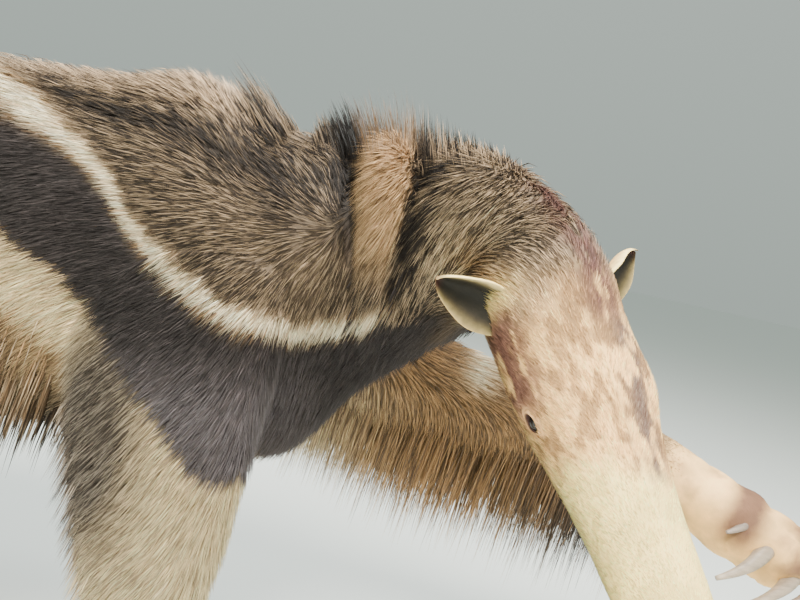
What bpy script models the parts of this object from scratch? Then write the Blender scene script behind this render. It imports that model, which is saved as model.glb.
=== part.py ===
"""Giant anteater: a still, life-size standing model.

The animal faces +X, its left side is +Y, and the floor is Z = 0. It stands on its right forefoot and both
hind feet, reaches forward with the left forefoot, and has its head turned to the right and bent down.
The origin is on the floor under the middle of the model. Lengths are in metres.
"""

import math
import random
from collections import namedtuple

import bmesh
import bpy
import numpy as np
from mathutils import Vector

# Driving dimensions of the animal, measured from a point on the floor below its right shoulder
WITHERS_HEIGHT = 0.600
RUMP_HEIGHT = 0.560
BELLY_HEIGHT = 0.255
BODY_HALF_WIDTH = 0.150
HIP_X = -0.500
TAIL_ROOT = Vector((-0.615, 0.0, 0.445))
FORELEG_HALF_SPAN = 0.105
HINDLEG_HALF_SPAN = 0.110
HEAD_LENGTH = 0.360
EAR_LENGTH = 0.044
EYE_RADIUS = 0.0085
LONG_CLAW = 0.085
SHORT_CLAW = 0.030
HINDFOOT_LENGTH = 0.150
FLOOR_CLEARANCE = 0.008
GAP = 0.0003

# The middle of the model's box, which becomes the origin
MODEL_MIDDLE = Vector((-0.432, -0.0575, 0.0))

# Where the head is: the point between the ears, the way it points, and the way its crown faces
HEAD_AT = Vector((0.262, -0.135, 0.475))
HEAD_FORWARD = Vector((0.455, -0.463, -0.761)).normalized()
HEAD_CROWN = Vector((0.135, -0.811, 0.574)).normalized()
HEAD_LEFT = HEAD_CROWN.cross(HEAD_FORWARD).normalized()
HEAD_CROWN = HEAD_FORWARD.cross(HEAD_LEFT)
HEAD_AXES = (HEAD_FORWARD, HEAD_LEFT, HEAD_CROWN)

# The raised left forelimb
ELBOW = Vector((0.215, 0.112, 0.338))
WRIST = Vector((0.452, 0.072, 0.322))
PALM = Vector((0.520, 0.048, 0.296))

AROUND = 20
LEG_AROUND = 12
DICE = random.Random(7)

Station = namedtuple("Station", "at side top bottom up square")


def station(at, side, top, bottom=None, up=(0, 0, 1), square=2.0):
    """One cross-section of a body part: its middle, half width, reach up and down, and squareness."""
    return Station(Vector(at), side, top, top if bottom is None else bottom, Vector(up), square)


class Loft:
    """A smooth body run through a list of stations. Its parameter runs from 0 to the last station's number."""

    def __init__(self, stations):
        self.last = len(stations) - 1
        self.rows = np.array([(*s.at, s.side, s.top, s.bottom, *s.up, s.square) for s in stations])
        steps = np.linalg.norm(np.diff(self.rows[:, :3], axis=0), axis=1)
        self.knots = np.concatenate([[0], np.cumsum(steps)])
        self.slopes = np.gradient(self.rows, self.knots, axis=0)

    def row(self, u):
        """The station at u, by a cubic curve through the given ones."""
        i = min(int(u), self.last - 1)
        span = self.knots[i + 1] - self.knots[i]
        t = u - i
        rise, run = t * t * (3 - 2 * t), t * (1 - t)
        return (
            self.rows[i] * (1 - rise)
            + self.rows[i + 1] * rise
            + span * run * ((1 - t) * self.slopes[i] - t * self.slopes[i + 1])
        )

    def frame(self, u):
        """The station at u, and the directions along the loft, to its left and up."""
        row = self.row(u)
        step = 0.02
        ahead, behind = self.row(min(u + step, self.last)), self.row(max(u - step, 0))
        along = Vector(ahead[:3] - behind[:3]).normalized()
        left = Vector(row[6:9]).cross(along).normalized()
        return row, along, left, along.cross(left)

    def surface(self, u, angle, grow=0.0):
        """The surface point at u. The angle is 0 to the left and a quarter turn at the top."""
        row, _, left, up = self.frame(u)
        side, top, bottom, power = row[3], row[4], row[5], 2 / row[9]
        across, rise = math.cos(angle), math.sin(angle)
        reach = (top if rise > 0 else bottom) + grow
        x = math.copysign(abs(across) ** power, across) * (side + grow)
        y = math.copysign(abs(rise) ** power, rise) * reach
        return Vector(row[:3]) + left * x + up * y

    def outward(self, u, angle):
        """The surface normal at u and angle, square to the loft's direction."""
        row, _, left, up = self.frame(u)
        reach = row[4] if math.sin(angle) > 0 else row[5]
        return (left * math.cos(angle) * reach + up * math.sin(angle) * row[3]).normalized()

    def rings(self, start, around=AROUND, grow=0.0):
        """Rings of points from a station to the last one, with one ring halfway between stations."""
        angles = [math.tau * a / around for a in range(around)]
        places = [start + k / 2 for k in range(2 * (self.last - start) + 1)]
        return [[self.surface(u, angle, grow) for angle in angles] for u in places]


def mesh_object(name, bm):
    """A Blender object of this bmesh, with its faces pointing out."""
    bmesh.ops.recalc_face_normals(bm, faces=bm.faces)
    if bm.calc_volume(signed=True) < 0:
        bmesh.ops.reverse_faces(bm, faces=bm.faces)
    mesh = bpy.data.meshes.new(name)
    bm.to_mesh(mesh)
    bm.free()
    made = bpy.data.objects.new(name, mesh)
    bpy.context.scene.collection.objects.link(made)
    return made


def skin(name, rings):
    """A closed body through rings of points, with flat ends. A ring of one point is a tip."""
    bm = bmesh.new()
    loops = [[bm.verts.new(p) for p in ring] for ring in rings]
    for a, b in zip(loops, loops[1:]):
        count = max(len(a), len(b))
        for k in range(count):
            near, far = k % len(a), (k + 1) % len(a)
            below, beyond = k % len(b), (k + 1) % len(b)
            for corners in ((a[near], a[far], b[beyond]), (a[near], b[beyond], b[below])):
                if len(set(corners)) == 3:
                    bm.faces.new(corners)
    for loop in (loops[0], loops[-1]):
        if len(loop) > 2:
            bm.faces.new(loop)
    return mesh_object(name, bm)


def ball(name, at, axes, radii, segments=12):
    """An ellipsoid at a place, with its three radii along three directions."""
    bm = bmesh.new()
    bmesh.ops.create_uvsphere(bm, u_segments=segments, v_segments=segments // 2, radius=1)
    for vertex in bm.verts:
        x, y, z = vertex.co
        vertex.co = at + axes[0] * (x * radii[0]) + axes[1] * (y * radii[1]) + axes[2] * (z * radii[2])
    return mesh_object(name, bm)


def combine(base, pieces, operation):
    """Joins pieces to base, or cuts them from it, and keeps the largest closed surface."""
    group = bpy.data.collections.new(base.name + "_pieces")
    bpy.context.scene.collection.children.link(group)
    for piece in pieces:
        bpy.context.scene.collection.objects.unlink(piece)
        group.objects.link(piece)
    modifier = base.modifiers.new(operation.title(), "BOOLEAN")
    modifier.operation = operation
    modifier.operand_type = "COLLECTION"
    modifier.collection = group
    modifier.solver = "MANIFOLD"
    bpy.context.view_layer.update()
    graph = bpy.context.evaluated_depsgraph_get()
    mesh = bpy.data.meshes.new_from_object(base.evaluated_get(graph))
    base.modifiers.clear()
    base.data = mesh
    for piece in pieces:
        bpy.data.objects.remove(piece)
    bpy.data.collections.remove(group)
    keep_largest(base)
    return base


def keep_largest(made):
    """Drops every closed surface of the object but the largest."""
    bm = bmesh.new()
    bm.from_mesh(made.data)
    left, islands = set(bm.verts), []
    while left:
        stack, island = [left.pop()], []
        while stack:
            vertex = stack.pop()
            island.append(vertex)
            for edge in vertex.link_edges:
                other = edge.other_vert(vertex)
                if other in left:
                    left.remove(other)
                    stack.append(other)
        islands.append(island)
    islands.sort(key=len)
    small = [vertex for island in islands[:-1] for vertex in island]
    bmesh.ops.delete(bm, geom=small, context="VERTS")
    bm.to_mesh(made.data)
    bm.free()


def lock(root, outward, lie, fall, length, width, thickness=0.008, sink=0.016, lift=0.10):
    """A flat, tapered lock of hair: it leaves the skin along its lie and bends towards its fall."""
    drop = -(lie.z * 0.62 + fall.z * 0.42)
    if drop > 0:
        length = min(length, (root.z - FLOOR_CLEARANCE) / drop)
    start = root - outward * sink
    bend = root + outward * (length * lift) + lie * (length * 0.45)
    tip = root + lie * (length * 0.62) + fall * (length * 0.42)
    rings = []
    for t in (0.0, 0.38, 0.72):
        middle = start * (1 - t) ** 2 + bend * (2 * t * (1 - t)) + tip * t**2
        along = ((bend - start) * (1 - t) + (tip - bend) * t).normalized()
        across = outward.cross(along).normalized()
        flat = along.cross(across).normalized()
        half_width = width / 2 * (1 - 0.45 * t**2)
        half_thickness = thickness / 2 * (1 - 0.5 * t)
        rings.append(
            [
                middle + across * half_width,
                middle + flat * half_thickness,
                middle - across * half_width,
                middle - flat * half_thickness,
            ]
        )
    rings.append([tip])
    return skin("lock", rings)


def locks_on(loft, places, length, width, lie, fall, **shape):
    """Locks set on a loft at (u, angle) places. Length, lie and fall are functions of the place."""
    made = []
    for u, angle in places:
        u_here = u + DICE.uniform(-0.06, 0.06)
        angle_here = angle + DICE.uniform(-0.06, 0.06)
        outward = loft.outward(u_here, angle_here)
        size = length(u, angle) * DICE.uniform(0.88, 1.12)
        way = (lie(u, angle) + Vector([DICE.uniform(-0.06, 0.06) for _ in range(3)])).normalized()
        root = loft.surface(u_here, angle_here)
        made.append(lock(root, outward, way, fall(u, angle).normalized(), size, width, **shape))
    return made


def claw(name, base, out, curl, length, radius):
    """A claw: a tapered horn, round above and narrow below, that leaves along out and bends to curl."""
    middle = base + out * (length * 0.55)
    tip = base + out * (length * 0.62) + curl * (length * 0.62)
    rings = []
    for t in (0.0, 0.28, 0.52, 0.76):
        at = base * (1 - t) ** 2 + middle * (2 * t * (1 - t)) + tip * t**2
        along = ((middle - base) * (1 - t) + (tip - middle) * t).normalized()
        across = curl.cross(along).normalized()
        deep = along.cross(across)
        size = radius * (1 - 0.62 * t)
        ring = []
        for k in range(6):
            angle = math.tau * k / 6
            ring.append(at + across * (0.8 * size * math.cos(angle)) + deep * (1.15 * size * math.sin(angle)))
        rings.append(ring)
    rings.append([tip])
    return skin(name, rings)


# The body from rump to nose, as one smooth run of stations

BELLY_X = -0.22
NOSE = HEAD_AT + HEAD_FORWARD * HEAD_LENGTH


def trunk_station(x, top, bottom, side, square=2.3):
    """A cross-section of the trunk between two heights."""
    return station((x, 0, (top + bottom) / 2), side, (top - bottom) / 2, square=square)


def head_station(from_nose, side, top, bottom=None, square=2.1):
    """A cross-section of the head at a distance from its nose."""
    return station(NOSE - HEAD_FORWARD * from_nose, side, top, bottom, HEAD_CROWN, square)


TRUNK = [
    trunk_station(TAIL_ROOT.x, 0.492, 0.395, 0.046),
    trunk_station(-0.590, 0.515, 0.345, 0.082),
    trunk_station(-0.540, 0.540, 0.300, 0.118),
    trunk_station(-0.450, RUMP_HEIGHT, 0.272, 0.140),
    trunk_station(-0.330, 0.572, 0.262, BODY_HALF_WIDTH),
    trunk_station(BELLY_X, 0.582, BELLY_HEIGHT, 0.156),
    trunk_station(-0.110, 0.592, BELLY_HEIGHT, 0.152),
    trunk_station(-0.020, WITHERS_HEIGHT + 0.005, 0.256, 0.140),
    station((0.050, -0.001, 0.443), 0.118, 0.132, 0.178, (-0.08, 0, 1)),
]
NECK = [
    station((0.105, -0.010, 0.458), 0.100, 0.122, 0.121, (-0.12, -0.05, 1)),
    station((0.165, -0.045, 0.484), 0.084, 0.097, 0.092, (-0.05, -0.20, 1)),
    station((0.220, -0.090, 0.496), 0.068, 0.078, 0.070, (0.15, -0.45, 0.85)),
]
HEAD = [
    head_station(0.360, 0.055, 0.064, 0.056),
    head_station(0.320, 0.052, 0.056, 0.052),
    head_station(0.285, 0.051, 0.052, 0.050),
    head_station(0.258, 0.048, 0.047, 0.047),
    head_station(0.230, 0.043, 0.041, 0.043),
    head_station(0.190, 0.036, 0.036, 0.039),
    head_station(0.130, 0.031, 0.032, 0.034),
    head_station(0.070, 0.026, 0.027, 0.028),
    head_station(0.025, 0.020, 0.021, 0.021),
    head_station(0.006, 0.015, 0.015, 0.015),
    head_station(0.000, 0.009, 0.009, 0.009),
]
SPINE = Loft(TRUNK + NECK + HEAD)
NECK_START = len(TRUNK) - 1
HEAD_START = len(TRUNK) + len(NECK) - 0.5

MANE_FALL = Vector((-1, 0, -0.45))
TAIL_FALL = Vector((-0.50, 0, -0.72))
DOWN = Vector((0, 0, -1))
BACK = Vector((-1, 0, 0))


def mane():
    """The crest of long hair along the back, short at the withers and longest over the rump."""
    places = []
    for k in range(18):
        offsets = (-0.30, 0.30) if k % 2 else (0.0,)
        places += [(0.9 + k * 0.37, math.pi / 2 + offset) for offset in offsets]

    def length(u, angle):
        return 0.055 + 0.018 * (7.4 - u) * (1.0 if angle == math.pi / 2 else 0.85)

    def lie(u, angle):
        return Vector((-1, 0.9 * math.cos(angle), 0.22))

    return locks_on(SPINE, places, length, 0.044, lie, lambda u, a: MANE_FALL, thickness=0.010)


def flank_fringe(side):
    """The hair that hangs from the flank between fore and hind legs, longest towards the hind leg."""
    first, last = (4.0, 6.1) if side < 0 else (4.7, 6.1)
    level = math.pi + 0.70 if side < 0 else -0.70
    count = 7 if side < 0 else 5
    places = [(first + (last - first) * k / (count - 1), level) for k in range(count)]
    lie = Vector((-0.30, 0.22 * side, -1)).normalized()

    def length(u, angle):
        return 0.050 + 0.036 * (last - u)

    return locks_on(SPINE, places, length, 0.058, lambda u, a: lie, lambda u, a: DOWN, thickness=0.012)


def neck_crest():
    """The short bristles that stand up along the neck."""
    places = [(NECK_START + 0.55 + 0.27 * k, math.pi / 2 + 0.10 * (-1) ** k) for k in range(10)]
    lie = Vector((-0.25, 0, 1)).normalized()
    return locks_on(SPINE, places, lambda u, a: 0.038, 0.024, lambda u, a: lie, lambda u, a: BACK)


# The head and what is on it

EYE_FROM_NOSE = 0.262
EYE_RISE = 0.10
EYE_DEPTH = 0.0045
EAR_FROM_NOSE = 0.345
EAR_RISE = 0.20


def spine_place(from_nose):
    """The spine's parameter at a distance from the nose."""
    first = len(TRUNK) + len(NECK)
    reach = [(s.at - NOSE).dot(HEAD_FORWARD) for s in HEAD]
    return float(np.interp(-from_nose, reach, range(first, first + len(HEAD))))


def head_side(side, rise):
    """The angle round the head, from its left or right side up towards the crown."""
    return rise if side > 0 else math.pi - rise


def eye_place(side):
    """The middle of an eye a little under the surface, and its directions forward, across and outward."""
    u, angle = spine_place(EYE_FROM_NOSE), head_side(side, EYE_RISE)
    outward = SPINE.outward(u, angle)
    forward = (HEAD_FORWARD - outward * HEAD_FORWARD.dot(outward)).normalized()
    axes = (forward, outward.cross(forward).normalized(), outward)
    return SPINE.surface(u, angle) - outward * EYE_DEPTH, axes


def lids(side):
    """The raised rim of both lids: a flattened ring round the eye, longer than it is high."""
    at, axes = eye_place(side)
    return ball("lids", at + axes[2] * 0.0030, axes, (0.0140, 0.0105, 0.0042))


def socket(side):
    at, axes = eye_place(side)
    return ball("socket", at, axes, [EYE_RADIUS + GAP] * 3)


def eye(side, name):
    at, axes = eye_place(side)
    return ball(name, at, axes, [EYE_RADIUS] * 3)


def nostril(side):
    """The pit of a nostril, on the side of the nose's tip."""
    at = NOSE - HEAD_FORWARD * 0.004 + HEAD_LEFT * (0.0085 * side) + HEAD_CROWN * 0.004
    return ball("nostril", at, HEAD_AXES, (0.0050, 0.0030, 0.0025), 8)


def mouth():
    """The thin slit of the mouth, from side to side under the nose's tip."""
    at = NOSE - HEAD_FORWARD * 0.010 - HEAD_CROWN * 0.0075
    return ball("mouth", at, HEAD_AXES, (0.024, 0.0300, 0.0012), 12)


def ear(side, name):
    """A small round ear: a cup that stands out and back from the head and opens forward and up."""
    u, angle = spine_place(EAR_FROM_NOSE), head_side(side, EAR_RISE)
    root = SPINE.surface(u, angle)
    axis = (HEAD_LEFT * (0.84 * side) - HEAD_FORWARD * 0.50 + HEAD_CROWN * 0.14).normalized()
    opens = HEAD_FORWARD * 0.75 + HEAD_CROWN * 0.50 + HEAD_LEFT * (0.35 * side)
    opens = (opens - axis * opens.dot(axis)).normalized()
    axes = (axis, axis.cross(opens), opens)
    middle = root + axis * (EAR_LENGTH * 0.36)
    cup = ball(name, middle, axes, (EAR_LENGTH * 0.66, 0.0195, 0.0120), 14)
    hollow = ball("hollow", middle + opens * 0.0065, axes, (EAR_LENGTH * 0.60, 0.0165, 0.0125), 12)
    combine(cup, [hollow], "DIFFERENCE")
    skull = skin("skull", SPINE.rings(NECK_START + 1, grow=GAP))
    return combine(cup, [skull], "DIFFERENCE")


# Legs. A standing leg's stations run down it, and its top side is the animal's front.


def leg_station(at, side, front, back):
    return station(at, side, front, back, (1, 0, 0), 2.1)


def foreleg_stations(side):
    y = FORELEG_HALF_SPAN * side
    return [
        leg_station((0.000, y * 0.78, 0.440), 0.050, 0.085, 0.085),
        leg_station((-0.005, y * 1.02, 0.370), 0.060, 0.088, 0.090),
        leg_station((0.000, y * 1.12, 0.300), 0.058, 0.078, 0.080),
        leg_station((0.004, y * 1.14, 0.235), 0.052, 0.066, 0.066),
        leg_station((0.008, y * 1.12, 0.165), 0.046, 0.052, 0.052),
        leg_station((0.012, y * 1.10, 0.105), 0.042, 0.044, 0.044),
        leg_station((0.018, y * 1.08, 0.065), 0.043, 0.046, 0.044),
        leg_station((0.022, y * 1.06, 0.025), 0.046, 0.050, 0.042),
        leg_station((0.022, y * 1.06, 0.000), 0.040, 0.042, 0.036),
    ]


def hindleg_stations(side, hip, knee, ankle, foot):
    """A hind leg from inside the hip to its flat foot. The foot's front is the toes."""
    y = HINDLEG_HALF_SPAN * side
    long = HINDFOOT_LENGTH / 2
    return [
        leg_station((hip, y * 0.80, 0.450), 0.052, 0.085, 0.085),
        leg_station((hip + 0.012, y * 0.96, 0.380), 0.068, 0.105, 0.100),
        leg_station(((hip + knee) / 2 + 0.015, y * 1.10, 0.310), 0.066, 0.098, 0.092),
        leg_station((knee, y * 1.16, 0.240), 0.058, 0.078, 0.078),
        leg_station(((knee + ankle) / 2, y * 1.14, 0.165), 0.049, 0.058, 0.058),
        leg_station((ankle, y * 1.10, 0.100), 0.042, 0.045, 0.044),
        leg_station((ankle + 0.004, y * 1.08, 0.068), 0.041, 0.048, 0.045),
        leg_station((foot + 0.005, y * 1.08, 0.046), 0.043, long * 0.86, long * 0.80),
        leg_station((foot, y * 1.08, 0.030), 0.045, long * 0.97, long * 0.95),
        leg_station((foot, y * 1.08, 0.014), 0.046, long, long),
        leg_station((foot, y * 1.08, 0.000), 0.041, long - 0.006, long - 0.006),
    ]


RIGHT_FORELEG = Loft(foreleg_stations(-1))
RIGHT_HINDLEG = Loft(hindleg_stations(-1, HIP_X, -0.500, -0.590, -0.570))
LEFT_HINDLEG = Loft(hindleg_stations(1, HIP_X + 0.02, -0.410, -0.420, -0.400))
LEFT_FORELEG = Loft(
    [
        station((0.010, 0.070, 0.420), 0.046, 0.080, 0.080, (0.4, 0, 1)),
        station((0.090, 0.102, 0.380), 0.052, 0.072, 0.078, (0.35, 0, 1)),
        station(ELBOW - Vector((0.045, 0.002, -0.014)), 0.050, 0.062, 0.066, (0.2, 0, 1)),
        station(ELBOW + Vector((0.040, -0.006, -0.002)), 0.048, 0.056, 0.058, (0, 0, 1)),
        station(ELBOW.lerp(WRIST, 0.60), 0.040, 0.044, 0.046, (0.05, 0, 1)),
        station(WRIST, 0.032, 0.031, 0.032, (0.15, 0, 1)),
        station(WRIST.lerp(PALM, 0.55), 0.036, 0.030, 0.036, (0.3, 0, 1)),
        station(PALM, 0.038, 0.030, 0.046, (0.4, 0, 1)),
        station(PALM + Vector((0.042, -0.010, -0.018)), 0.037, 0.028, 0.042, (0.5, 0, 1)),
        station(PALM + Vector((0.078, -0.018, -0.038)), 0.031, 0.024, 0.030, (0.6, 0, 1)),
        station(PALM + Vector((0.090, -0.021, -0.046)), 0.014, 0.010, 0.012, (0.6, 0, 1)),
    ]
)


def foreleg_fringe():
    """Hair behind the standing foreleg, from the elbow to the wrist."""
    places = [(1.7 + 0.55 * k, -math.pi / 2 + 0.40 * (-1) ** k) for k in range(7)]
    lie = Vector((-0.55, 0, -1)).normalized()
    return locks_on(RIGHT_FORELEG, places, lambda u, a: 0.070, 0.034, lambda u, a: lie, lambda u, a: DOWN)


def reaching_fringe():
    """Hair that hangs from under the reaching foreleg, longest near the elbow."""
    places = [(1.35 + 0.34 * k, -math.pi / 2 + 0.45 * (-1) ** k) for k in range(11)]
    lie = Vector((-0.25, 0, -1)).normalized()

    def length(u, angle):
        return 0.125 - 0.020 * abs(u - 2.4)

    return locks_on(LEFT_FORELEG, places, length, 0.040, lambda u, a: lie, lambda u, a: DOWN)


def hindleg_fringe(loft, side):
    """Long hair down the outside and back of a hind leg."""
    outside = 0.0 if side > 0 else math.pi
    places = []
    for k in range(4):
        u = 2.0 + 0.62 * k
        places += [(u, outside + turn * side) for turn in ((-1.2, -0.3) if k % 2 else (-1.5, -0.75))]
    places += [(3.6, -math.pi / 2)]
    lie = Vector((-0.35, 0.05 * side, -1)).normalized()
    return locks_on(loft, places, lambda u, a: 0.110, 0.056, lambda u, a: lie, lambda u, a: DOWN)


# Claws

FORE_CLAWS = ((1, 0.45), (2, 0.90), (3, 1.0), (4, 0.50))
REACHING_CLAWS_AT = (0.104, 0.076, 0.037, 0.010)
STANDING_CLAWS_AT = (0.034, 0.014, -0.009, -0.029)


def fore_claw(name, base, out, curl, share):
    """A claw of a forefoot, at its share of the longest one's length."""
    return claw(name, base, out.normalized(), curl.normalized(), LONG_CLAW * share, 0.0088 * (0.5 + 0.5 * share))


def standing_claws():
    """Claws of the right forefoot, folded in under the foot: they point to the animal's middle and back."""
    centre = Vector(RIGHT_FORELEG.row(7)[:3])
    out, curl = Vector((0.20, 0.95, -0.10)), Vector((-0.45, 0.85, -0.10))
    made = []
    for (number, share), forward in zip(FORE_CLAWS, STANDING_CLAWS_AT):
        base = centre + Vector((forward, 0.034, -0.004))
        made.append(fore_claw(f"forefoot_right_claw_{number}", base, out, curl, share * 0.8))
    return made


def reaching_claws():
    """Claws of the raised left forefoot: the two great ones hook back towards the palm."""
    out, curl = Vector((-0.25, -0.80, -0.55)), Vector((-0.95, -0.05, -0.30))
    made = []
    for (number, share), along in zip(FORE_CLAWS, REACHING_CLAWS_AT):
        base = PALM + Vector((0.0124 + 0.80 * along, -0.022, 0.012 - 0.60 * along))
        made.append(fore_claw(f"forefoot_left_claw_{number}", base, out, curl, share))
    return made


def hind_claws(loft, name):
    """Five short claws along the front of a hind foot."""
    front = loft.row(loft.last - 1)
    centre = Vector(front[:3])
    made = []
    for number in range(1, 6):
        spread = (number - 3) * 0.0165
        reach = front[4] * math.sqrt(1 - (spread / front[3]) ** 2 * 0.9) - 0.008
        base = centre + Vector((reach, spread, 0.004))
        out = Vector((1, spread * 6, 0.12)).normalized()
        curl = Vector((0.55, 0, -0.55)).normalized()
        made.append(claw(f"{name}_claw_{number}", base, out, curl, SHORT_CLAW, 0.0062))
    return made


def cut_by_foot(claws, loft, start):
    """Cuts the claws clear of the foot that they grow from."""
    for made in claws:
        combine(made, [skin("foot", loft.rings(start, LEG_AROUND, GAP))], "DIFFERENCE")


# The tail: a fleshy core with a deep curtain of hair

TAIL = Loft(
    [
        station(TAIL_ROOT + Vector((0.060, 0, 0.0)), 0.046, 0.052, 0.052),
        station(TAIL_ROOT, 0.048, 0.052, 0.052),
        station((-0.700, 0.004, 0.440), 0.050, 0.056, 0.062),
        station((-0.820, 0.012, 0.418), 0.046, 0.054, 0.080),
        station((-0.960, 0.024, 0.372), 0.042, 0.050, 0.092),
        station((-1.090, 0.036, 0.305), 0.037, 0.044, 0.086),
        station((-1.200, 0.046, 0.232), 0.030, 0.036, 0.066),
        station((-1.285, 0.053, 0.168), 0.018, 0.022, 0.036),
        station((-1.320, 0.056, 0.140), 0.006, 0.007, 0.010),
    ]
)
TAIL_HAIR_ROWS = 8


def tail_locks():
    """The tail's curtain: rows of locks down each side, one over the next, swept back and hanging."""
    places = []
    for k in range(TAIL_HAIR_ROWS):
        u = 1.2 + 6.5 * k / (TAIL_HAIR_ROWS - 1)
        turns = (0.75, 0.0, -0.75) if k % 2 else (1.2, 0.40, -0.35, -1.15)
        places += [(u, turn) for turn in turns]
        places += [(u, math.pi - turn) for turn in turns]
        places += [(u, -math.pi / 2)]

    def low(angle):
        return 0.5 - 0.5 * math.sin(angle)

    def length(u, angle):
        return 0.13 + 0.15 * low(angle)

    def lie(u, angle):
        return Vector((-1 + 0.35 * low(angle), 0.30 * -math.cos(angle), 0.10 - 0.95 * low(angle))).normalized()

    return locks_on(TAIL, places, length, 0.060, lie, lambda u, a: TAIL_FALL, thickness=0.010)


# The whole animal is one body, which is then parted into its nodes


def whole_animal():
    """Trunk, neck, head, tail and legs with all their long hair, fused."""
    body = skin("whole", SPINE.rings(0))
    pieces = [
        skin("tail", TAIL.rings(0, LEG_AROUND)),
        skin("foreleg", RIGHT_FORELEG.rings(0, LEG_AROUND)),
        skin("foreleg", LEFT_FORELEG.rings(0, LEG_AROUND)),
        skin("hindleg", RIGHT_HINDLEG.rings(0, LEG_AROUND)),
        skin("hindleg", LEFT_HINDLEG.rings(0, LEG_AROUND)),
        lids(1),
        lids(-1),
    ]
    pieces += mane() + flank_fringe(-1) + flank_fringe(1) + neck_crest()
    pieces += foreleg_fringe() + reaching_fringe()
    pieces += hindleg_fringe(RIGHT_HINDLEG, -1) + hindleg_fringe(LEFT_HINDLEG, 1)
    pieces += tail_locks()
    return combine(body, pieces, "UNION")


def block(low, high, grow=0.0, at=Vector((0, 0, 0)), along=Vector((1, 0, 0)), up=Vector((0, 0, 1))):
    """A box between two corners, in a frame at a point with its first axis along and its third up."""
    left = up.cross(along).normalized()
    top = along.cross(left).normalized()
    bm = bmesh.new()
    bmesh.ops.create_cube(bm, size=1)
    for vertex in bm.verts:
        spot = [
            (a + b) / 2 + share * (b - a + 2 * grow) for a, b, share in zip(low, high, vertex.co)
        ]
        vertex.co = at + along.normalized() * spot[0] + left * spot[1] + top * spot[2]
    return mesh_object("block", bm)


def part_off(whole, name, region):
    """Takes what lies inside a region off the whole, as its own object, and leaves a thin gap."""
    piece = whole.copy()
    piece.data = whole.data.copy()
    piece.name = name
    bpy.context.scene.collection.objects.link(piece)
    combine(piece, [region(0.0)], "INTERSECT")
    combine(whole, [region(GAP)], "DIFFERENCE")
    return piece


def box_region(low, high, loft=None, place=0):
    """A region between two corners, in the model's frame or in a loft's frame at a place along it."""
    frame = {}
    if loft:
        row, along, _, up = loft.frame(place)
        frame = {"at": Vector(row[:3]), "along": along, "up": up}
    return lambda grow: block(low, high, grow, **frame)


def arm_region(grow):
    """The reaching foreleg from its shoulder on, with the hair that hangs from it."""
    under = block((0.105, 0.020, 0.10), (0.50, 0.19, 0.345), grow)
    return combine(skin("arm", LEFT_FORELEG.rings(1, LEG_AROUND, 0.003 + grow)), [under], "UNION")


def part_nodes(whole):
    """Parts the fused animal into head, neck, legs, feet and tail. What is left is the torso."""
    regions = [
        ("forefoot_left", box_region((0, -0.09, -0.09), (0.2, 0.09, 0.09), LEFT_FORELEG, 5)),
        ("foreleg_left", arm_region),
        ("head", box_region((0, -0.11, -0.24), (0.5, 0.11, 0.11), SPINE, HEAD_START)),
        ("neck", box_region((0, -0.16, -0.26), (0.4, 0.16, 0.26), SPINE, NECK_START + 0.3)),
        ("forefoot_right", box_region((-0.08, -0.22, -0.02), (0.12, -0.02, 0.067))),
        ("foreleg_right", box_region((-0.14, -0.26, 0.04), (0.13, -0.045, 0.335))),
        ("hindfoot_right", box_region((-0.70, -0.24, -0.02), (-0.44, -0.03, 0.067))),
        ("hindleg_right", box_region((-0.76, -0.30, 0.04), (-0.37, -0.040, 0.345))),
        ("hindfoot_left", box_region((-0.53, 0.03, -0.02), (-0.27, 0.24, 0.067))),
        ("hindleg_left", box_region((-0.60, 0.040, 0.04), (-0.27, 0.30, 0.345))),
        ("tail", box_region((-1.60, -0.35, -0.02), (TAIL_ROOT.x, 0.35, 0.70))),
    ]
    return [part_off(whole, name, region) for name, region in regions]


# Colours: linear red, green and blue

COLOURS = {
    "coat": (0.16, 0.13, 0.10),
    "pale_coat": (0.55, 0.45, 0.31),
    "tail_coat": (0.12, 0.095, 0.075),
    "ear": (0.40, 0.32, 0.24),
    "eye": (0.010, 0.008, 0.007),
    "claw": (0.38, 0.33, 0.27),
}


def material(name, roughness):
    made = bpy.data.materials.new(name)
    made.use_nodes = True
    shader = made.node_tree.nodes["Principled BSDF"]
    shader.inputs["Base Color"].default_value = (*COLOURS[name], 1)
    shader.inputs["Roughness"].default_value = roughness
    shader.inputs["Metallic"].default_value = 0.0
    return made


def look_of(name):
    """The material's name and roughness for a node."""
    for word, look in (("claw", ("claw", 0.45)), ("eye", ("eye", 0.08)), ("ear", ("ear", 0.85))):
        if word in name.split("_"):
            return look
    if name == "tail":
        return "tail_coat", 0.9
    return ("pale_coat", 0.9) if name in ("head", "foreleg_right", "forefoot_right") else ("coat", 0.9)


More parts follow.
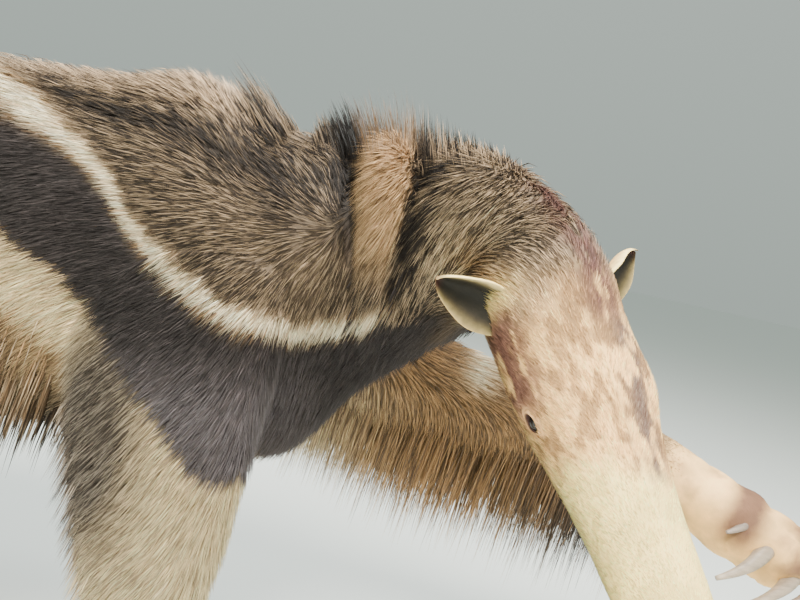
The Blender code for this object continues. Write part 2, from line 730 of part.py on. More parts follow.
def main():
    for old in list(bpy.data.objects):
        bpy.data.objects.remove(old)
    whole = whole_animal()
    nodes = part_nodes(whole)
    whole.name = "torso"
    head = next(node for node in nodes if node.name == "head")
    for cut in (socket(1), socket(-1), nostril(1), nostril(-1), mouth()):
        combine(head, [cut], "DIFFERENCE")
    claws = {
        "right": (standing_claws(), RIGHT_FORELEG, 6),
        "left": (reaching_claws(), LEFT_FORELEG, 5),
        "hind_right": (hind_claws(RIGHT_HINDLEG, "hindfoot_right"), RIGHT_HINDLEG, 7),
        "hind_left": (hind_claws(LEFT_HINDLEG, "hindfoot_left"), LEFT_HINDLEG, 7),
    }
    for made, loft, start in claws.values():
        cut_by_foot(made, loft, start)
        nodes += made
    nodes += [whole, eye(1, "eye_left"), eye(-1, "eye_right"), ear(1, "ear_left"), ear(-1, "ear_right")]
    for node in nodes:
        look, roughness = look_of(node.name)
        node.data.materials.clear()
        node.data.materials.append(material(look, roughness))
        for vertex in node.data.vertices:
            vertex.co -= MODEL_MIDDLE
        if node.name.startswith("eye"):
            node.data.shade_smooth()


main()
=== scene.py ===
import math

import bmesh
import bpy
import numpy as np
from mathutils import Matrix


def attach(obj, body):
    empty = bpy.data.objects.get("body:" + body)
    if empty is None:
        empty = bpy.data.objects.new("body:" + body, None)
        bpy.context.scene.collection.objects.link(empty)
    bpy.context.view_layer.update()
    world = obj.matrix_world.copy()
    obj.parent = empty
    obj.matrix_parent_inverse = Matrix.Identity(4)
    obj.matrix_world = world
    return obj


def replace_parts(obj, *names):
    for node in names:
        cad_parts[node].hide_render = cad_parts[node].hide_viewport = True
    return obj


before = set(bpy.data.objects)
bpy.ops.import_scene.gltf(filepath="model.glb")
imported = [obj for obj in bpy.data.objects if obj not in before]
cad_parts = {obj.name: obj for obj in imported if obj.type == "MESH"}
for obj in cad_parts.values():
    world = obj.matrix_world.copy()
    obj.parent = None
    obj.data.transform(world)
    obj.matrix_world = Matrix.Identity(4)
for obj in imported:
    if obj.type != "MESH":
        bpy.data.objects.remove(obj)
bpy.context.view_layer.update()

draw = np.random.default_rng(11)


def unit(v):
    return v / np.maximum(np.linalg.norm(v, axis=-1, keepdims=True), 1e-12)


def vec(*v):
    return np.array(v, float)


# n angles evenly round a circle
def circle(n):
    return np.linspace(0, 2 * np.pi, n, endpoint=False)


# old (1 - share) + new share
def blend(old, new, share):
    return old * (1 - share) + new * share


# smooth step from 0 at a to 1 at b: t^2 (3 - 2t)
def step(a, b, x):
    t = np.clip((x - a) / (b - a), 0, 1)
    return t * t * (3 - 2 * t)


# bell of width w round c: exp(-((x - c) / w) ** 2)
def bell(x, c, w):
    return np.exp(-(((x - c) / w) ** 2))


# wavy noise: three crossed sines of the place, from -1 to 1
def ripple(p, scale, seed=0.0):
    q = p * scale + seed
    a = np.sin(q[:, 0] * 1.3 + 2.1 * np.sin(q[:, 1] * 0.9 + seed))
    b = np.sin(q[:, 1] * 1.7 + 1.9 * np.sin(q[:, 2] * 1.1 + 2 * seed))
    c = np.sin(q[:, 2] * 1.5 + 2.3 * np.sin(q[:, 0] * 0.8 - seed))
    return (a + b + c) / 3


# The animal's sizes, in metres from the floor point below its right shoulder; +X is where it faces
body = {
    "middle": vec(-0.432, -0.0575, 0.0),   # what lies at the frame's origin
    "withers": 0.600,
    "rump": 0.560,
    "belly": 0.255,
    "halfWidth": 0.150,
    "hipX": -0.500,
    "tailRoot": vec(-0.615, 0.0, 0.445),
    "foreSpan": 0.105,
    "hindSpan": 0.110,
    "hindFoot": 0.150,
    "headAt": vec(0.262, -0.135, 0.475),
    "headForward": unit(vec(0.455, -0.463, -0.761)),
    "headCrown": unit(vec(0.135, -0.811, 0.574)),
    "headLength": 0.360,
    "elbow": vec(0.215, 0.112, 0.338),
    "wrist": vec(0.452, 0.072, 0.322),
    "palm": vec(0.520, 0.048, 0.296),
}
headForward = body["headForward"]
headLeft = unit(np.cross(body["headCrown"], headForward))
headCrown = np.cross(headForward, headLeft)
nose = body["headAt"] + headForward * body["headLength"]


# one cross-section: middle, half width, reach up and down, up direction, squareness
def station(at, wide, top, bottom=None, up=(0, 0, 1), square=2.0):
    return [*at, wide, top, top if bottom is None else bottom, *up, square]


def trunkStation(x, top, bottom, wide):
    return station((x, 0, (top + bottom) / 2), wide, (top - bottom) / 2, square=2.3)


def headStation(fromNose, wide, top, bottom=None):
    return station(nose - headForward * fromNose, wide, top, bottom, headCrown, 2.1)


def legStation(at, wide, front, back):
    return station(at, wide, front, back, (1, 0, 0), 2.1)


def makeLoft(stations):
    rows = np.array(stations, float)
    lengths = np.linalg.norm(np.diff(rows[:, :3], axis=0), axis=1)
    knots = np.concatenate([[0], np.cumsum(lengths)])
    return {"rows": rows, "knots": knots, "slopes": np.gradient(rows, knots, axis=0), "last": len(rows) - 1}


# cubic curve through the stations: a(1-r) + b r + span t(1-t)((1-t) slopeA - t slopeB), r = 3t^2 - 2t^3
def loftRow(loft, u):
    i = np.clip(np.floor(u).astype(int), 0, loft["last"] - 1)
    t = (u - i)[..., None]
    span = (loft["knots"][i + 1] - loft["knots"][i])[..., None]
    rise = t * t * (3 - 2 * t)
    slopes = (1 - t) * loft["slopes"][i] - t * loft["slopes"][i + 1]
    return loft["rows"][i] * (1 - rise) + loft["rows"][i + 1] * rise + span * t * (1 - t) * slopes


# at each place u: the curve's row, the way along it, its left and its up
def loftFrame(loft, u):
    row = loftRow(loft, u)
    ahead = loftRow(loft, np.minimum(u + 0.02, loft["last"]))[..., :3]
    along = unit(ahead - loftRow(loft, np.maximum(u - 0.02, 0))[..., :3])
    left = unit(np.cross(row[..., 6:9], along))
    return row, along, left, np.cross(along, left)


# middle + left side cos^p + up reach sin^p, p = 2 / squareness, drawn in by inset
def loftPoint(loft, u, angle, inset=0.0):
    row, _, left, up = loftFrame(loft, u)
    across, rise = np.cos(angle), np.sin(angle)
    power = 2 / row[..., 9]
    reach = np.where(rise > 0, row[..., 4], row[..., 5])
    x = np.sign(across) * np.abs(across) ** power * np.maximum(row[..., 3] - inset, 0.002)
    y = np.sign(rise) * np.abs(rise) ** power * np.maximum(reach - inset, 0.002)
    return row[..., :3] + left * x[..., None] + up * y[..., None]


trunk = [
    trunkStation(body["tailRoot"][0], 0.492, 0.395, 0.046),
    trunkStation(-0.590, 0.515, 0.345, 0.082),
    trunkStation(-0.540, 0.540, 0.300, 0.118),
    trunkStation(-0.450, body["rump"], 0.272, 0.140),
    trunkStation(-0.330, 0.572, 0.262, body["halfWidth"]),
    trunkStation(-0.220, 0.582, body["belly"], 0.156),
    trunkStation(-0.110, 0.592, body["belly"], 0.152),
    trunkStation(-0.020, body["withers"] + 0.005, 0.256, 0.140),
    station((0.050, -0.001, 0.443), 0.118, 0.132, 0.178, (-0.08, 0, 1)),
]
neck = [
    station((0.105, -0.010, 0.458), 0.100, 0.122, 0.121, (-0.12, -0.05, 1)),
    station((0.165, -0.045, 0.484), 0.084, 0.097, 0.092, (-0.05, -0.20, 1)),
    station((0.220, -0.090, 0.496), 0.068, 0.078, 0.070, (0.15, -0.45, 0.85)),
]
head = [
    headStation(0.360, 0.055, 0.064, 0.056),
    headStation(0.320, 0.052, 0.056, 0.052),
    headStation(0.285, 0.051, 0.052, 0.050),
    headStation(0.258, 0.048, 0.047, 0.047),
    headStation(0.230, 0.043, 0.041, 0.043),
    headStation(0.190, 0.036, 0.036, 0.039),
    headStation(0.130, 0.031, 0.032, 0.034),
    headStation(0.070, 0.026, 0.027, 0.028),
    headStation(0.025, 0.020, 0.021, 0.021),
    headStation(0.006, 0.015, 0.015, 0.015),
    headStation(0.000, 0.009, 0.009, 0.009),
]
headStart = len(trunk) + len(neck)


def foreleg():
    y = -body["foreSpan"]
    return [
        legStation((0.000, y * 0.78, 0.440), 0.050, 0.085, 0.085),
        legStation((-0.005, y * 1.02, 0.370), 0.060, 0.088, 0.090),
        legStation((0.000, y * 1.12, 0.300), 0.058, 0.078, 0.080),
        legStation((0.004, y * 1.14, 0.235), 0.052, 0.066, 0.066),
        legStation((0.008, y * 1.12, 0.165), 0.046, 0.052, 0.052),
        legStation((0.012, y * 1.10, 0.105), 0.042, 0.044, 0.044),
        legStation((0.018, y * 1.08, 0.065), 0.043, 0.046, 0.044),
        legStation((0.022, y * 1.06, 0.025), 0.046, 0.050, 0.042),
        legStation((0.022, y * 1.06, 0.000), 0.040, 0.042, 0.036),
    ]


def hindleg(way, hip, knee, ankle, foot):
    y = body["hindSpan"] * way
    long = body["hindFoot"] / 2
    return [
        legStation((hip, y * 0.80, 0.450), 0.052, 0.085, 0.085),
        legStation((hip + 0.012, y * 0.96, 0.380), 0.068, 0.105, 0.100),
        legStation(((hip + knee) / 2 + 0.015, y * 1.10, 0.310), 0.066, 0.098, 0.092),
        legStation((knee, y * 1.16, 0.240), 0.058, 0.078, 0.078),
        legStation(((knee + ankle) / 2, y * 1.14, 0.165), 0.049, 0.058, 0.058),
        legStation((ankle, y * 1.10, 0.100), 0.042, 0.045, 0.044),
        legStation((ankle + 0.004, y * 1.08, 0.068), 0.041, 0.048, 0.045),
        legStation((foot + 0.005, y * 1.08, 0.046), 0.043, long * 0.86, long * 0.80),
        legStation((foot, y * 1.08, 0.030), 0.045, long * 0.97, long * 0.95),
        legStation((foot, y * 1.08, 0.014), 0.046, long, long),
        legStation((foot, y * 1.08, 0.000), 0.041, long - 0.006, long - 0.006),
    ]


def reachingLeg():
    elbow, wrist, palm = body["elbow"], body["wrist"], body["palm"]
    return [
        station((0.010, 0.070, 0.420), 0.046, 0.080, 0.080, (0.4, 0, 1)),
        station((0.090, 0.102, 0.380), 0.052, 0.072, 0.078, (0.35, 0, 1)),
        station(elbow - vec(0.045, 0.002, -0.014), 0.050, 0.062, 0.066, (0.2, 0, 1)),
        station(elbow + vec(0.040, -0.006, -0.002), 0.048, 0.056, 0.058, (0, 0, 1)),
        station(elbow * 0.40 + wrist * 0.60, 0.040, 0.044, 0.046, (0.05, 0, 1)),
        station(wrist, 0.032, 0.031, 0.032, (0.15, 0, 1)),
        station(wrist * 0.45 + palm * 0.55, 0.036, 0.030, 0.036, (0.3, 0, 1)),
        station(palm, 0.038, 0.030, 0.046, (0.4, 0, 1)),
        station(palm + vec(0.042, -0.010, -0.018), 0.037, 0.028, 0.042, (0.5, 0, 1)),
        station(palm + vec(0.078, -0.018, -0.038), 0.031, 0.024, 0.030, (0.6, 0, 1)),
        station(palm + vec(0.090, -0.021, -0.046), 0.014, 0.010, 0.012, (0.6, 0, 1)),
    ]


def tailCore():
    root = body["tailRoot"]
    return [
        station(root + vec(0.060, 0, 0), 0.046, 0.052, 0.052),
        station(root, 0.048, 0.052, 0.052),
        station((-0.700, 0.004, 0.440), 0.050, 0.056, 0.062),
        station((-0.820, 0.012, 0.418), 0.046, 0.054, 0.080),
        station((-0.960, 0.024, 0.372), 0.042, 0.050, 0.092),
        station((-1.090, 0.036, 0.305), 0.037, 0.044, 0.086),
        station((-1.200, 0.046, 0.232), 0.030, 0.036, 0.066),
        station((-1.285, 0.053, 0.168), 0.018, 0.022, 0.036),
        station((-1.320, 0.056, 0.140), 0.006, 0.007, 0.010),
    ]


lofts = [
    makeLoft(trunk + neck + head),
    makeLoft(tailCore()),
    makeLoft(foreleg()),
    makeLoft(reachingLeg()),
    makeLoft(hindleg(-1, body["hipX"], -0.500, -0.590, -0.570)),
    makeLoft(hindleg(1, body["hipX"] + 0.02, -0.410, -0.420, -0.400)),
]
spine, tail, standing, reaching, hindRight, hindLeft = range(6)

# How deep the coat is over the skin: (station, depth) along each loft
coatDepth = {
    spine: ([0, 4, 8, 10, 11.5, 12.5, 15, 18, 22],
            [0.010, 0.013, 0.012, 0.010, 0.007, 0.004, 0.003, 0.0015, 0.001]),
    tail: ([0, 8], [0.006, 0.003]),
    standing: ([0, 3, 6, 8], [0.010, 0.008, 0.004, 0.002]),
    reaching: ([0, 2, 4, 5, 10], [0.010, 0.008, 0.005, 0.003, 0.001]),
    hindRight: ([0, 3, 6, 10], [0.010, 0.009, 0.005, 0.002]),
    hindLeft: ([0, 3, 6, 10], [0.010, 0.009, 0.005, 0.002]),
}


# place along a loft: the nearest of its samples, then one step along the curve
def placeAlong(loft, points):
    samples = np.linspace(0, loft["last"], 12 * loft["last"] + 1)
    centres = loftRow(loft, samples)[:, :3]
    u = np.zeros(len(points))
    for chunk in np.array_split(np.arange(len(points)), len(points) // 20000 + 1):
        away = ((points[chunk, None, :] - centres) ** 2).sum(-1)
        u[chunk] = samples[away.argmin(1)]
    row, along, _, _ = loftFrame(loft, u)
    ahead = loftRow(loft, np.minimum(u + 0.05, loft["last"]))[:, :3]
    speed = np.linalg.norm(ahead - row[:, :3], axis=1) / 0.05
    u = u + ((points - row[:, :3]) * along).sum(1) / np.maximum(speed, 0.02)
    return np.clip(u, 0, loft["last"])


# angle round a loft and how far out, which is 1 on it: (|x|^2p + |y|^2p)^(1/2p), p = squareness / 2
def placeRound(loft, points, u):
    row, along, left, up = loftFrame(loft, u)
    off = points - row[:, :3]
    x = (off * left).sum(1) / row[:, 3]
    y = (off * up).sum(1)
    y = y / np.where(y > 0, row[:, 4], row[:, 5])
    power = row[:, 9] / 2
    out = (np.abs(x) ** (2 * power) + np.abs(y) ** (2 * power)) ** (0.5 / power)
    out = out + np.abs((off * along).sum(1)) / 0.03
    return np.arctan2(np.sign(y) * np.abs(y) ** power, np.sign(x) * np.abs(x) ** power), out


# For each point: the loft that it lies on, its place u along it and its angle round it
def locate(points):
    best = np.full(len(points), np.inf)
    part = np.zeros(len(points), int)
    place, angle = np.zeros(len(points)), np.zeros(len(points))
    for number, loft in enumerate(lofts):
        u = placeAlong(loft, points)
        turn, out = placeRound(loft, points, u)
        nearer = out < best
        best[nearer], part[nearer] = out[nearer], number
        place[nearer], angle[nearer] = u[nearer], turn[nearer]
    return {"part": part, "u": place, "angle": angle}


# A mesh from whole arrays of points and faces
def newMesh(name, points, faces):
    count = faces.shape[1]
    mesh = bpy.data.meshes.new(name)
    mesh.vertices.add(len(points))
    mesh.vertices.foreach_set("co", (points - body["middle"]).astype(np.float32).ravel())
    mesh.loops.add(faces.size)
    mesh.loops.foreach_set("vertex_index", faces.astype(np.int32).ravel())
    mesh.polygons.add(len(faces))
    mesh.polygons.foreach_set("loop_start", np.arange(0, faces.size, count, dtype=np.int32))
    mesh.update(calc_edges=True)
    return mesh


def addObject(name, data):
    made = bpy.data.objects.new(name, data)
    bpy.context.scene.collection.objects.link(made)
    return made


def newPiece(name, mesh, material):
    piece = addObject(name, mesh)
    mesh.materials.append(material)
    mesh.shade_smooth()
    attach(piece, "root")
    return piece


# one value of every vertex, edge or triangle, as rows
def readRows(items, value, width, kind=np.float32):
    rows = np.empty(len(items) * width, kind)
    items.foreach_get(value, rows)
    return rows.reshape(-1, width)


def readMesh(mesh):
    points = readRows(mesh.vertices, "co", 3).astype(float) + body["middle"]
    return points, readRows(mesh.vertex_normals, "vector", 3).astype(float)


def meshEdges(mesh):
    return readRows(mesh.edges, "vertices", 2, np.int32)


def writePoints(mesh, points):
    mesh.vertices.foreach_set("co", (points - body["middle"]).astype(np.float32).ravel())
    mesh.update()


# triangles of a tube of rings, closed round, each end a fan to the mean of its ring
def tube(rings):
    rows, cols = rings.shape[:2]
    start = np.arange(rows - 1)[:, None] * cols
    k = np.arange(cols)
    nextK = (k + 1) % cols
    quads = np.stack([start + k, start + nextK, start + nextK + cols, start + k + cols], -1).reshape(-1, 4)
    points = np.concatenate([rings.reshape(-1, 3), rings[0].mean(0)[None], rings[-1].mean(0)[None]])
    last = (rows - 1) * cols
    low = np.full(cols, rows * cols)
    caps = [np.stack([low, nextK, k], -1), np.stack([low + 1, last + k, last + nextK], -1)]
    return points, np.concatenate([quads[:, [0, 1, 2]], quads[:, [0, 2, 3]], *caps])


def tubeMesh(name, rings):
    mesh = newMesh(name, *tube(rings))
    shape = bmesh.new()
    shape.from_mesh(mesh)
    if shape.calc_volume(signed=True) < 0:
        bmesh.ops.reverse_faces(shape, faces=shape.faces)
        shape.to_mesh(mesh)
    shape.free()
    return mesh


def setColour(mesh, name, colour):
    rgba = np.ones((len(colour), 4), np.float32)
    rgba[:, :3] = colour
    mesh.color_attributes.new(name, "FLOAT_COLOR", "POINT").data.foreach_set("color", rgba.ravel())


# Claws: their bases, ways and lengths follow the solids
claws = {
    "long": 0.085,
    "short": 0.030,
    "thick": 0.0088,
    "hindThick": 0.0062,
    "hindApart": 0.0165,
    "shares": (0.45, 0.90, 1.0, 0.50),
    "reachingAt": (0.104, 0.076, 0.037, 0.010),
    "standingAt": (0.034, 0.014, -0.009, -0.029),
}


# Each claw: name, base, way out of the foot, way that its tip bends to, length, thickness
def foreClaws():
    plan = []
    foot = loftRow(lofts[standing], np.array([7.0]))[0, :3]
    for n, share in enumerate(claws["shares"]):
        length = claws["long"] * share
        at = foot + vec(claws["standingAt"][n], 0.034, -0.004)
        plan.append((f"forefoot_right_claw_{n + 1}", at, vec(0.20, 0.95, -0.10), vec(-0.45, 0.85, -0.10),
                     length * 0.8, claws["thick"] * (0.5 + 0.4 * share)))
        along = claws["reachingAt"][n]
        at = body["palm"] + vec(0.0124 + 0.80 * along, -0.022, 0.012 - 0.60 * along)
        plan.append((f"forefoot_left_claw_{n + 1}", at, vec(-0.25, -0.80, -0.55), vec(-0.95, -0.05, -0.30),
                     length, claws["thick"] * (0.5 + 0.5 * share)))
    return plan


def hindClaws():
    plan = []
    for name, leg in (("hindfoot_right", hindRight), ("hindfoot_left", hindLeft)):
        row = lofts[leg]["rows"][-2]
        for n in range(5):
            spread = (n - 2) * claws["hindApart"]
            reach = row[4] * math.sqrt(1 - (spread / row[3]) ** 2 * 0.9) - 0.008
            at = row[:3] + vec(reach, spread, 0.004)
            plan.append((f"{name}_claw_{n + 1}", at, vec(1, spread * 6, 0.12), vec(0.55, 0, -0.55),
                         claws["short"], claws["hindThick"]))
    return plan


clawPlan = foreClaws() + hindClaws()


# rings of a radius round points on a straight way
def rod(centres, way, radius, corners):
    a = unit(np.cross(way, vec(0.3, 0.2, 1)))
    b = np.cross(way, a)
    angle = circle(corners)
    ring = np.cos(angle)[:, None] * a + np.sin(angle)[:, None] * b
    return centres[:, None, :] + radius[:, None, None] * ring[None]


# a toe under each claw, which the skin takes in: a rod from inside the foot, radius (1 - |t|^3)^0.5
def toe(at, out, length, thick):
    t = np.linspace(-1, 1, 9)
    radius = thick * 1.35 * np.sqrt(np.clip(1 - np.abs(t) ** 3, 0.02, 1))
    return rod(at[None] + (t[:, None] * 0.5 - 0.42) * length * unit(out)[None], unit(out), radius, 12)


# The skin: every loft drawn in by the coat's depth, with the toes, made one surface
skinPlan = {"voxel": 0.0064, "smooth": 4, "headDetail": 3, "foreToe": 0.030, "hindToe": 0.024,
            "overFloor": 0.0008, "shade": 0.62}


def skinParts():
    parts = []
    for number, loft in enumerate(lofts):
        u = np.linspace(0, loft["last"], 10 * loft["last"] + 1)[:, None]
        inset = np.interp(u, *coatDepth[number])
        u, angle, inset = np.broadcast_arrays(u, circle(64)[None], inset)
        parts.append(loftPoint(loft, u, angle, inset))
    for name, at, out, _, _, thick in clawPlan:
        reach = skinPlan["foreToe"] if name.startswith("fore") else skinPlan["hindToe"]
        parts.append(toe(at, out, reach, thick))
    return parts


def buildSkin():
    points, faces, start = [], [], 0
    for rings in skinParts():
        spots, triangles = tube(rings)
        points.append(spots)
        faces.append(triangles + start)
        start += len(spots)
    raw = addObject("rawSkin", newMesh("rawSkin", np.concatenate(points), np.concatenate(faces)))
    remesh = raw.modifiers.new("Remesh", "REMESH")
    remesh.mode = "VOXEL"
    remesh.voxel_size = skinPlan["voxel"]
    smooth = raw.modifiers.new("Smooth", "SMOOTH")
    smooth.factor = 0.5
    smooth.iterations = skinPlan["smooth"]
    bpy.context.view_layer.update()
    made = bpy.data.meshes.new_from_object(raw.evaluated_get(bpy.context.evaluated_depsgraph_get()))
    bpy.data.objects.remove(raw)
    return made


# where a point is on the head: distance from the nose along it, to its left, towards its crown
def headCoords(points):
    off = points - nose
    return -(off @ headForward), off @ headLeft, off @ headCrown


# share of the head at a place of the spine: from 0 at the distance start from the nose to 1 at end
def headShare(points, where, start=0.372, end=0.325):
    along = headCoords(points)[0]
    return (where["part"] == spine) * step(10.7, 11.5, where["u"]) * step(start, end, along)


# some times over, each point marked moves by the factor towards the mean of its neighbours
def relax(points, edges, marked, times, factor=0.5):
    count = np.bincount(edges.ravel(), minlength=len(points))[:, None]
    for _ in range(times):
        total = np.zeros_like(points)
        for axis in range(3):
            total[:, axis] = np.bincount(edges[:, 0], points[edges[:, 1], axis], len(points))
            total[:, axis] += np.bincount(edges[:, 1], points[edges[:, 0], axis], len(points))
        points = points + (total / np.maximum(count, 1) - points) * (factor * marked)[:, None]
    return points


# the part of the head that is made finer in each turn: the head, its front two thirds, then eyes and nose
def fineRegion(points, turn):
    along, left, crown = headCoords(points)
    onHead = np.hypot(left, crown) < 0.085
    if turn < 2:
        return onHead & (along < (0.345, 0.300)[turn])
    near = along < 0.022
    for way in (1, -1):
        near = near | (np.linalg.norm(points - eyePlace(way)[0], axis=1) < 0.024)
    return onHead & near


def refineHead(mesh):
    for turn in range(skinPlan["headDetail"]):
        points, _ = readMesh(mesh)
        chosen = fineRegion(points, turn)
        edges = meshEdges(mesh)
        shape = bmesh.new()
        shape.from_mesh(mesh)
        shape.edges.ensure_lookup_table()
        cut = [shape.edges[k] for k in np.nonzero(chosen[edges].all(1))[0]]
        bmesh.ops.subdivide_edges(shape, edges=cut, cuts=1, use_grid_fill=True)
        shape.to_mesh(mesh)
        shape.free()
        points, _ = readMesh(mesh)
        writePoints(mesh, relax(points, meshEdges(mesh), fineRegion(points, turn) * 1.0, 2))


# Eyes and what is round them
eyes = {"fromNose": 0.262, "rise": 0.10, "depth": 0.0078, "radius": 0.0076, "long": 0.0062, "high": 0.0038,
        "tilt": 0.20, "around": 0.03}


# place on the spine's loft at a distance from the nose and an angle over the head's side
def headPlace(fromNose, rise, way):
    knots = [(row[:3] - nose) @ headForward for row in lofts[spine]["rows"][headStart:]]
    u = np.interp(-fromNose, knots, np.arange(headStart, headStart + len(knots)))
    return np.array([u]), np.array([rise if way > 0 else math.pi - rise])


# an eye's middle, the way of its long axis, of its high one, and out of the head
def eyePlace(way):
    u, angle = headPlace(eyes["fromNose"], eyes["rise"], way)
    row, _, left, up = loftFrame(lofts[spine], u)
    outward = unit(left[0] * np.cos(angle[0]) * row[0, 4] + up[0] * np.sin(angle[0]) * row[0, 3])
    forward = unit(headForward - outward * (headForward @ outward))
    across = np.cross(outward, forward)
    longWay = unit(forward * math.cos(eyes["tilt"]) - across * (math.sin(eyes["tilt"]) * way))
    at = loftPoint(lofts[spine], u, angle)[0] - outward * eyes["depth"]
    return at, longWay, np.cross(outward, longWay), outward


# e, which is 1 on an eye's rim, e^2 = (p/long)^2 + (q/high)^2, and whether a point is near that eye
def eyeRing(points, way):
    at, longWay, high, _ = eyePlace(way)
    p, q = (points - at) @ longWay, (points - at) @ high
    e = np.sqrt((p / eyes["long"]) ** 2 + (q / eyes["high"]) ** 2)
    return e, np.linalg.norm(points - at, axis=1) < eyes["around"]


# lids: pushed in where e < 1, a rim at 1.3, a groove at 1.75, a fold at 2.1, a mound, a tear fold in front
def shapeEye(points, way):
    at, longWay, high, outward = eyePlace(way)
    off = points - at
    p, q, r = off @ longWay, off @ high, off @ outward
    near = (r > -0.002) & (np.hypot(p, q) < 0.05)
    slim = eyes["high"] * (1 - 0.25 * np.clip(p / eyes["long"], 0, 1.2))
    e = np.sqrt((p / eyes["long"]) ** 2 + (q / slim) ** 2)
    lift = -0.0075 * (1 - step(0.75, 1.12, e)) + 0.0016 * bell(e, 1.30, 0.28)
    lift = lift + 0.0010 * bell(e, 2.1, 0.30) - 0.0008 * bell(e, 1.75, 0.12)
    lift = lift + 0.0020 * bell(np.hypot(p, q), 0, 0.020)
    lift = lift - 0.0022 * bell(p, eyes["long"] * 1.6, 0.005) * bell(q, 0.001 * way, 0.0013)
    return (lift * near)[:, None] * outward


# nostrils: a pit on each side of the tip. Mouth: a slit along the muzzle's underside
def shapeNose(points):
    lift = np.zeros_like(points)
    along, left, crown = headCoords(points)
    for way in (1, -1):
        pit = bell(along, 0.005, 0.0032) * bell(left, 0.0075 * way, 0.0028) * bell(crown, 0.0035, 0.0024)
        lift += (0.0032 * pit)[:, None] * (headForward * 0.6 - headLeft * way * 0.8) * -1
    slit = bell(crown, -0.0085 + along * 0.02, 0.0012) * step(0.048, 0.040, along) * step(-0.004, 0.004, along)
    lift += (0.0016 * slit)[:, None] * -unit(points - (nose - along[:, None] * headForward))
    return lift


# The folds of the bent neck's right side: a ridge between two grooves, in terms of X at a height
folds = {"ridgeX": 0.125, "lean": 0.085, "topZ": 0.573, "narrow": 4.3, "apart": 0.034, "ridge": 0.008,
         "groove": 0.011}


# distance from the leaning ridge, (x - ridgeX - lean down) / (1 - narrow down), so folds narrow downwards
def foldPlace(points):
    down = folds["topZ"] - points[:, 2]
    width = 1 - folds["narrow"] * np.clip(down, 0, 0.15)
    return (points[:, 0] - folds["ridgeX"] - folds["lean"] * down) / width


# the ridge, its two grooves and the swell of the cheek behind the ear
def shapeFolds(points, normals, where):
    d = foldPlace(points)
    side = step(-0.01, -0.05, points[:, 1]) * step(0.38, 0.44, points[:, 2])
    onNeck = (where["part"] == spine) & (where["u"] > 7) & (where["u"] < 11.5)
    lift = folds["ridge"] * bell(d, 0, 0.018)
    lift = lift - folds["groove"] * bell(d, -folds["apart"], 0.012)
    lift = lift - folds["groove"] * bell(d, folds["apart"], 0.011)
    cheek = 0.004 * bell(d, 0.090, 0.020)
    return ((lift + cheek) * side * onNeck)[:, None] * normals


# under the coat: shoulder blade, the hollow behind it, forearm, brow, the palm's creases and knuckles
def shapeBody(points, normals, where):
    x, y, z = points.T
    right = step(-0.04, -0.09, y)
    blade = 0.006 * bell(x + 0.55 * (z - 0.45), 0.02, 0.045) * bell(z, 0.47, 0.07) * right
    hollow = -0.006 * bell(x, -0.085, 0.03) * bell(z, 0.43, 0.06) * right
    forearm = 0.004 * bell(x, 0.035, 0.03) * bell(z, 0.22, 0.04) * (where["part"] == standing)
    along, left, crown = headCoords(points)
    brow = 0.0042 * bell(along, 0.262, 0.024) * bell(np.abs(left), 0.040, 0.013) * bell(crown, 0.034, 0.016)
    brow = brow * (where["part"] == spine)
    u, angle = where["u"], where["angle"]
    onPalm = (where["part"] == reaching) * step(5.6, 6.2, u) * step(10.0, 9.4, u)
    crease = np.abs(np.sin(4.6 * u + 1.2 * np.sin(2 * angle + u))) ** 0.35 - 0.85
    knuckles = 0.0034 * crease + 0.0030 * np.cos(angle * 4 + 0.6) * step(7.6, 8.4, u)
    return (blade + hollow + forearm + brow + knuckles * onPalm)[:, None] * normals


# Colours, linear
paint = {
    "charcoal": vec(0.031, 0.025, 0.024),
    # painted highlight: the purple-grey sheen on the black band's lower part
    "paintedSheen": vec(0.200, 0.172, 0.184),
    "umber": vec(0.022, 0.016, 0.012),
    "brown": vec(0.092, 0.062, 0.040),
    "pepper": vec(0.43, 0.31, 0.19),
    "white": vec(0.98, 0.84, 0.58),
    "cream": vec(0.95, 0.73, 0.42),
    "tan": vec(0.50, 0.29, 0.125),
    "face": vec(0.98, 0.62, 0.25),
    "muzzle": vec(1.0, 0.77, 0.30),
    "mauve": vec(0.175, 0.078, 0.060),
    "pad": vec(0.72, 0.42, 0.14),
    "grey": vec(0.145, 0.120, 0.100),
    "tail": vec(0.060, 0.044, 0.034),
    "bristle": vec(0.16, 0.17, 0.18),
}

# the black band's upper and lower edge as height over X, seen from the side
bandTop = np.array([(-0.42, 0.550), (-0.30, 0.550), (-0.22, 0.542), (-0.161, 0.524), (-0.112, 0.504),
                    (-0.077, 0.482), (-0.048, 0.449), (-0.012, 0.422), (0.030, 0.402), (0.086, 0.395),
                    (0.123, 0.405), (0.146, 0.421), (0.200, 0.447), (0.260, 0.455)])
bandLow = np.array([(-0.42, 0.552), (-0.30, 0.512), (-0.22, 0.472), (-0.141, 0.437), (-0.081, 0.397),
                    (-0.027, 0.355), (0.011, 0.316), (0.039, 0.290), (0.066, 0.280), (0.085, 0.225),
                    (0.120, 0.150)])


# the dark line under the back's pale crest: X, height, half width
darkLine = np.array([(-0.30, 0.545, 0.006), (-0.146, 0.547, 0.007), (-0.070, 0.541, 0.009),
                     (-0.027, 0.536, 0.012), (0.040, 0.520, 0.024), (0.090, 0.500, 0.034)])


# height over a line that is drawn on the side view: z - line(x)
def overLine(points, line):
    return points[:, 2] - np.interp(points[:, 0], line[:, 0], line[:, 1])


# lays a marking over a look: a dark and a pale hair colour, and the share of pale hairs
def put(look, mask, dark, pale, share):
    m = np.clip(mask, 0, 1)
    look["dark"] = blend(look["dark"], dark, m[:, None])
    look["pale"] = blend(look["pale"], pale, m[:, None])
    look["share"] = blend(look["share"], share, m)


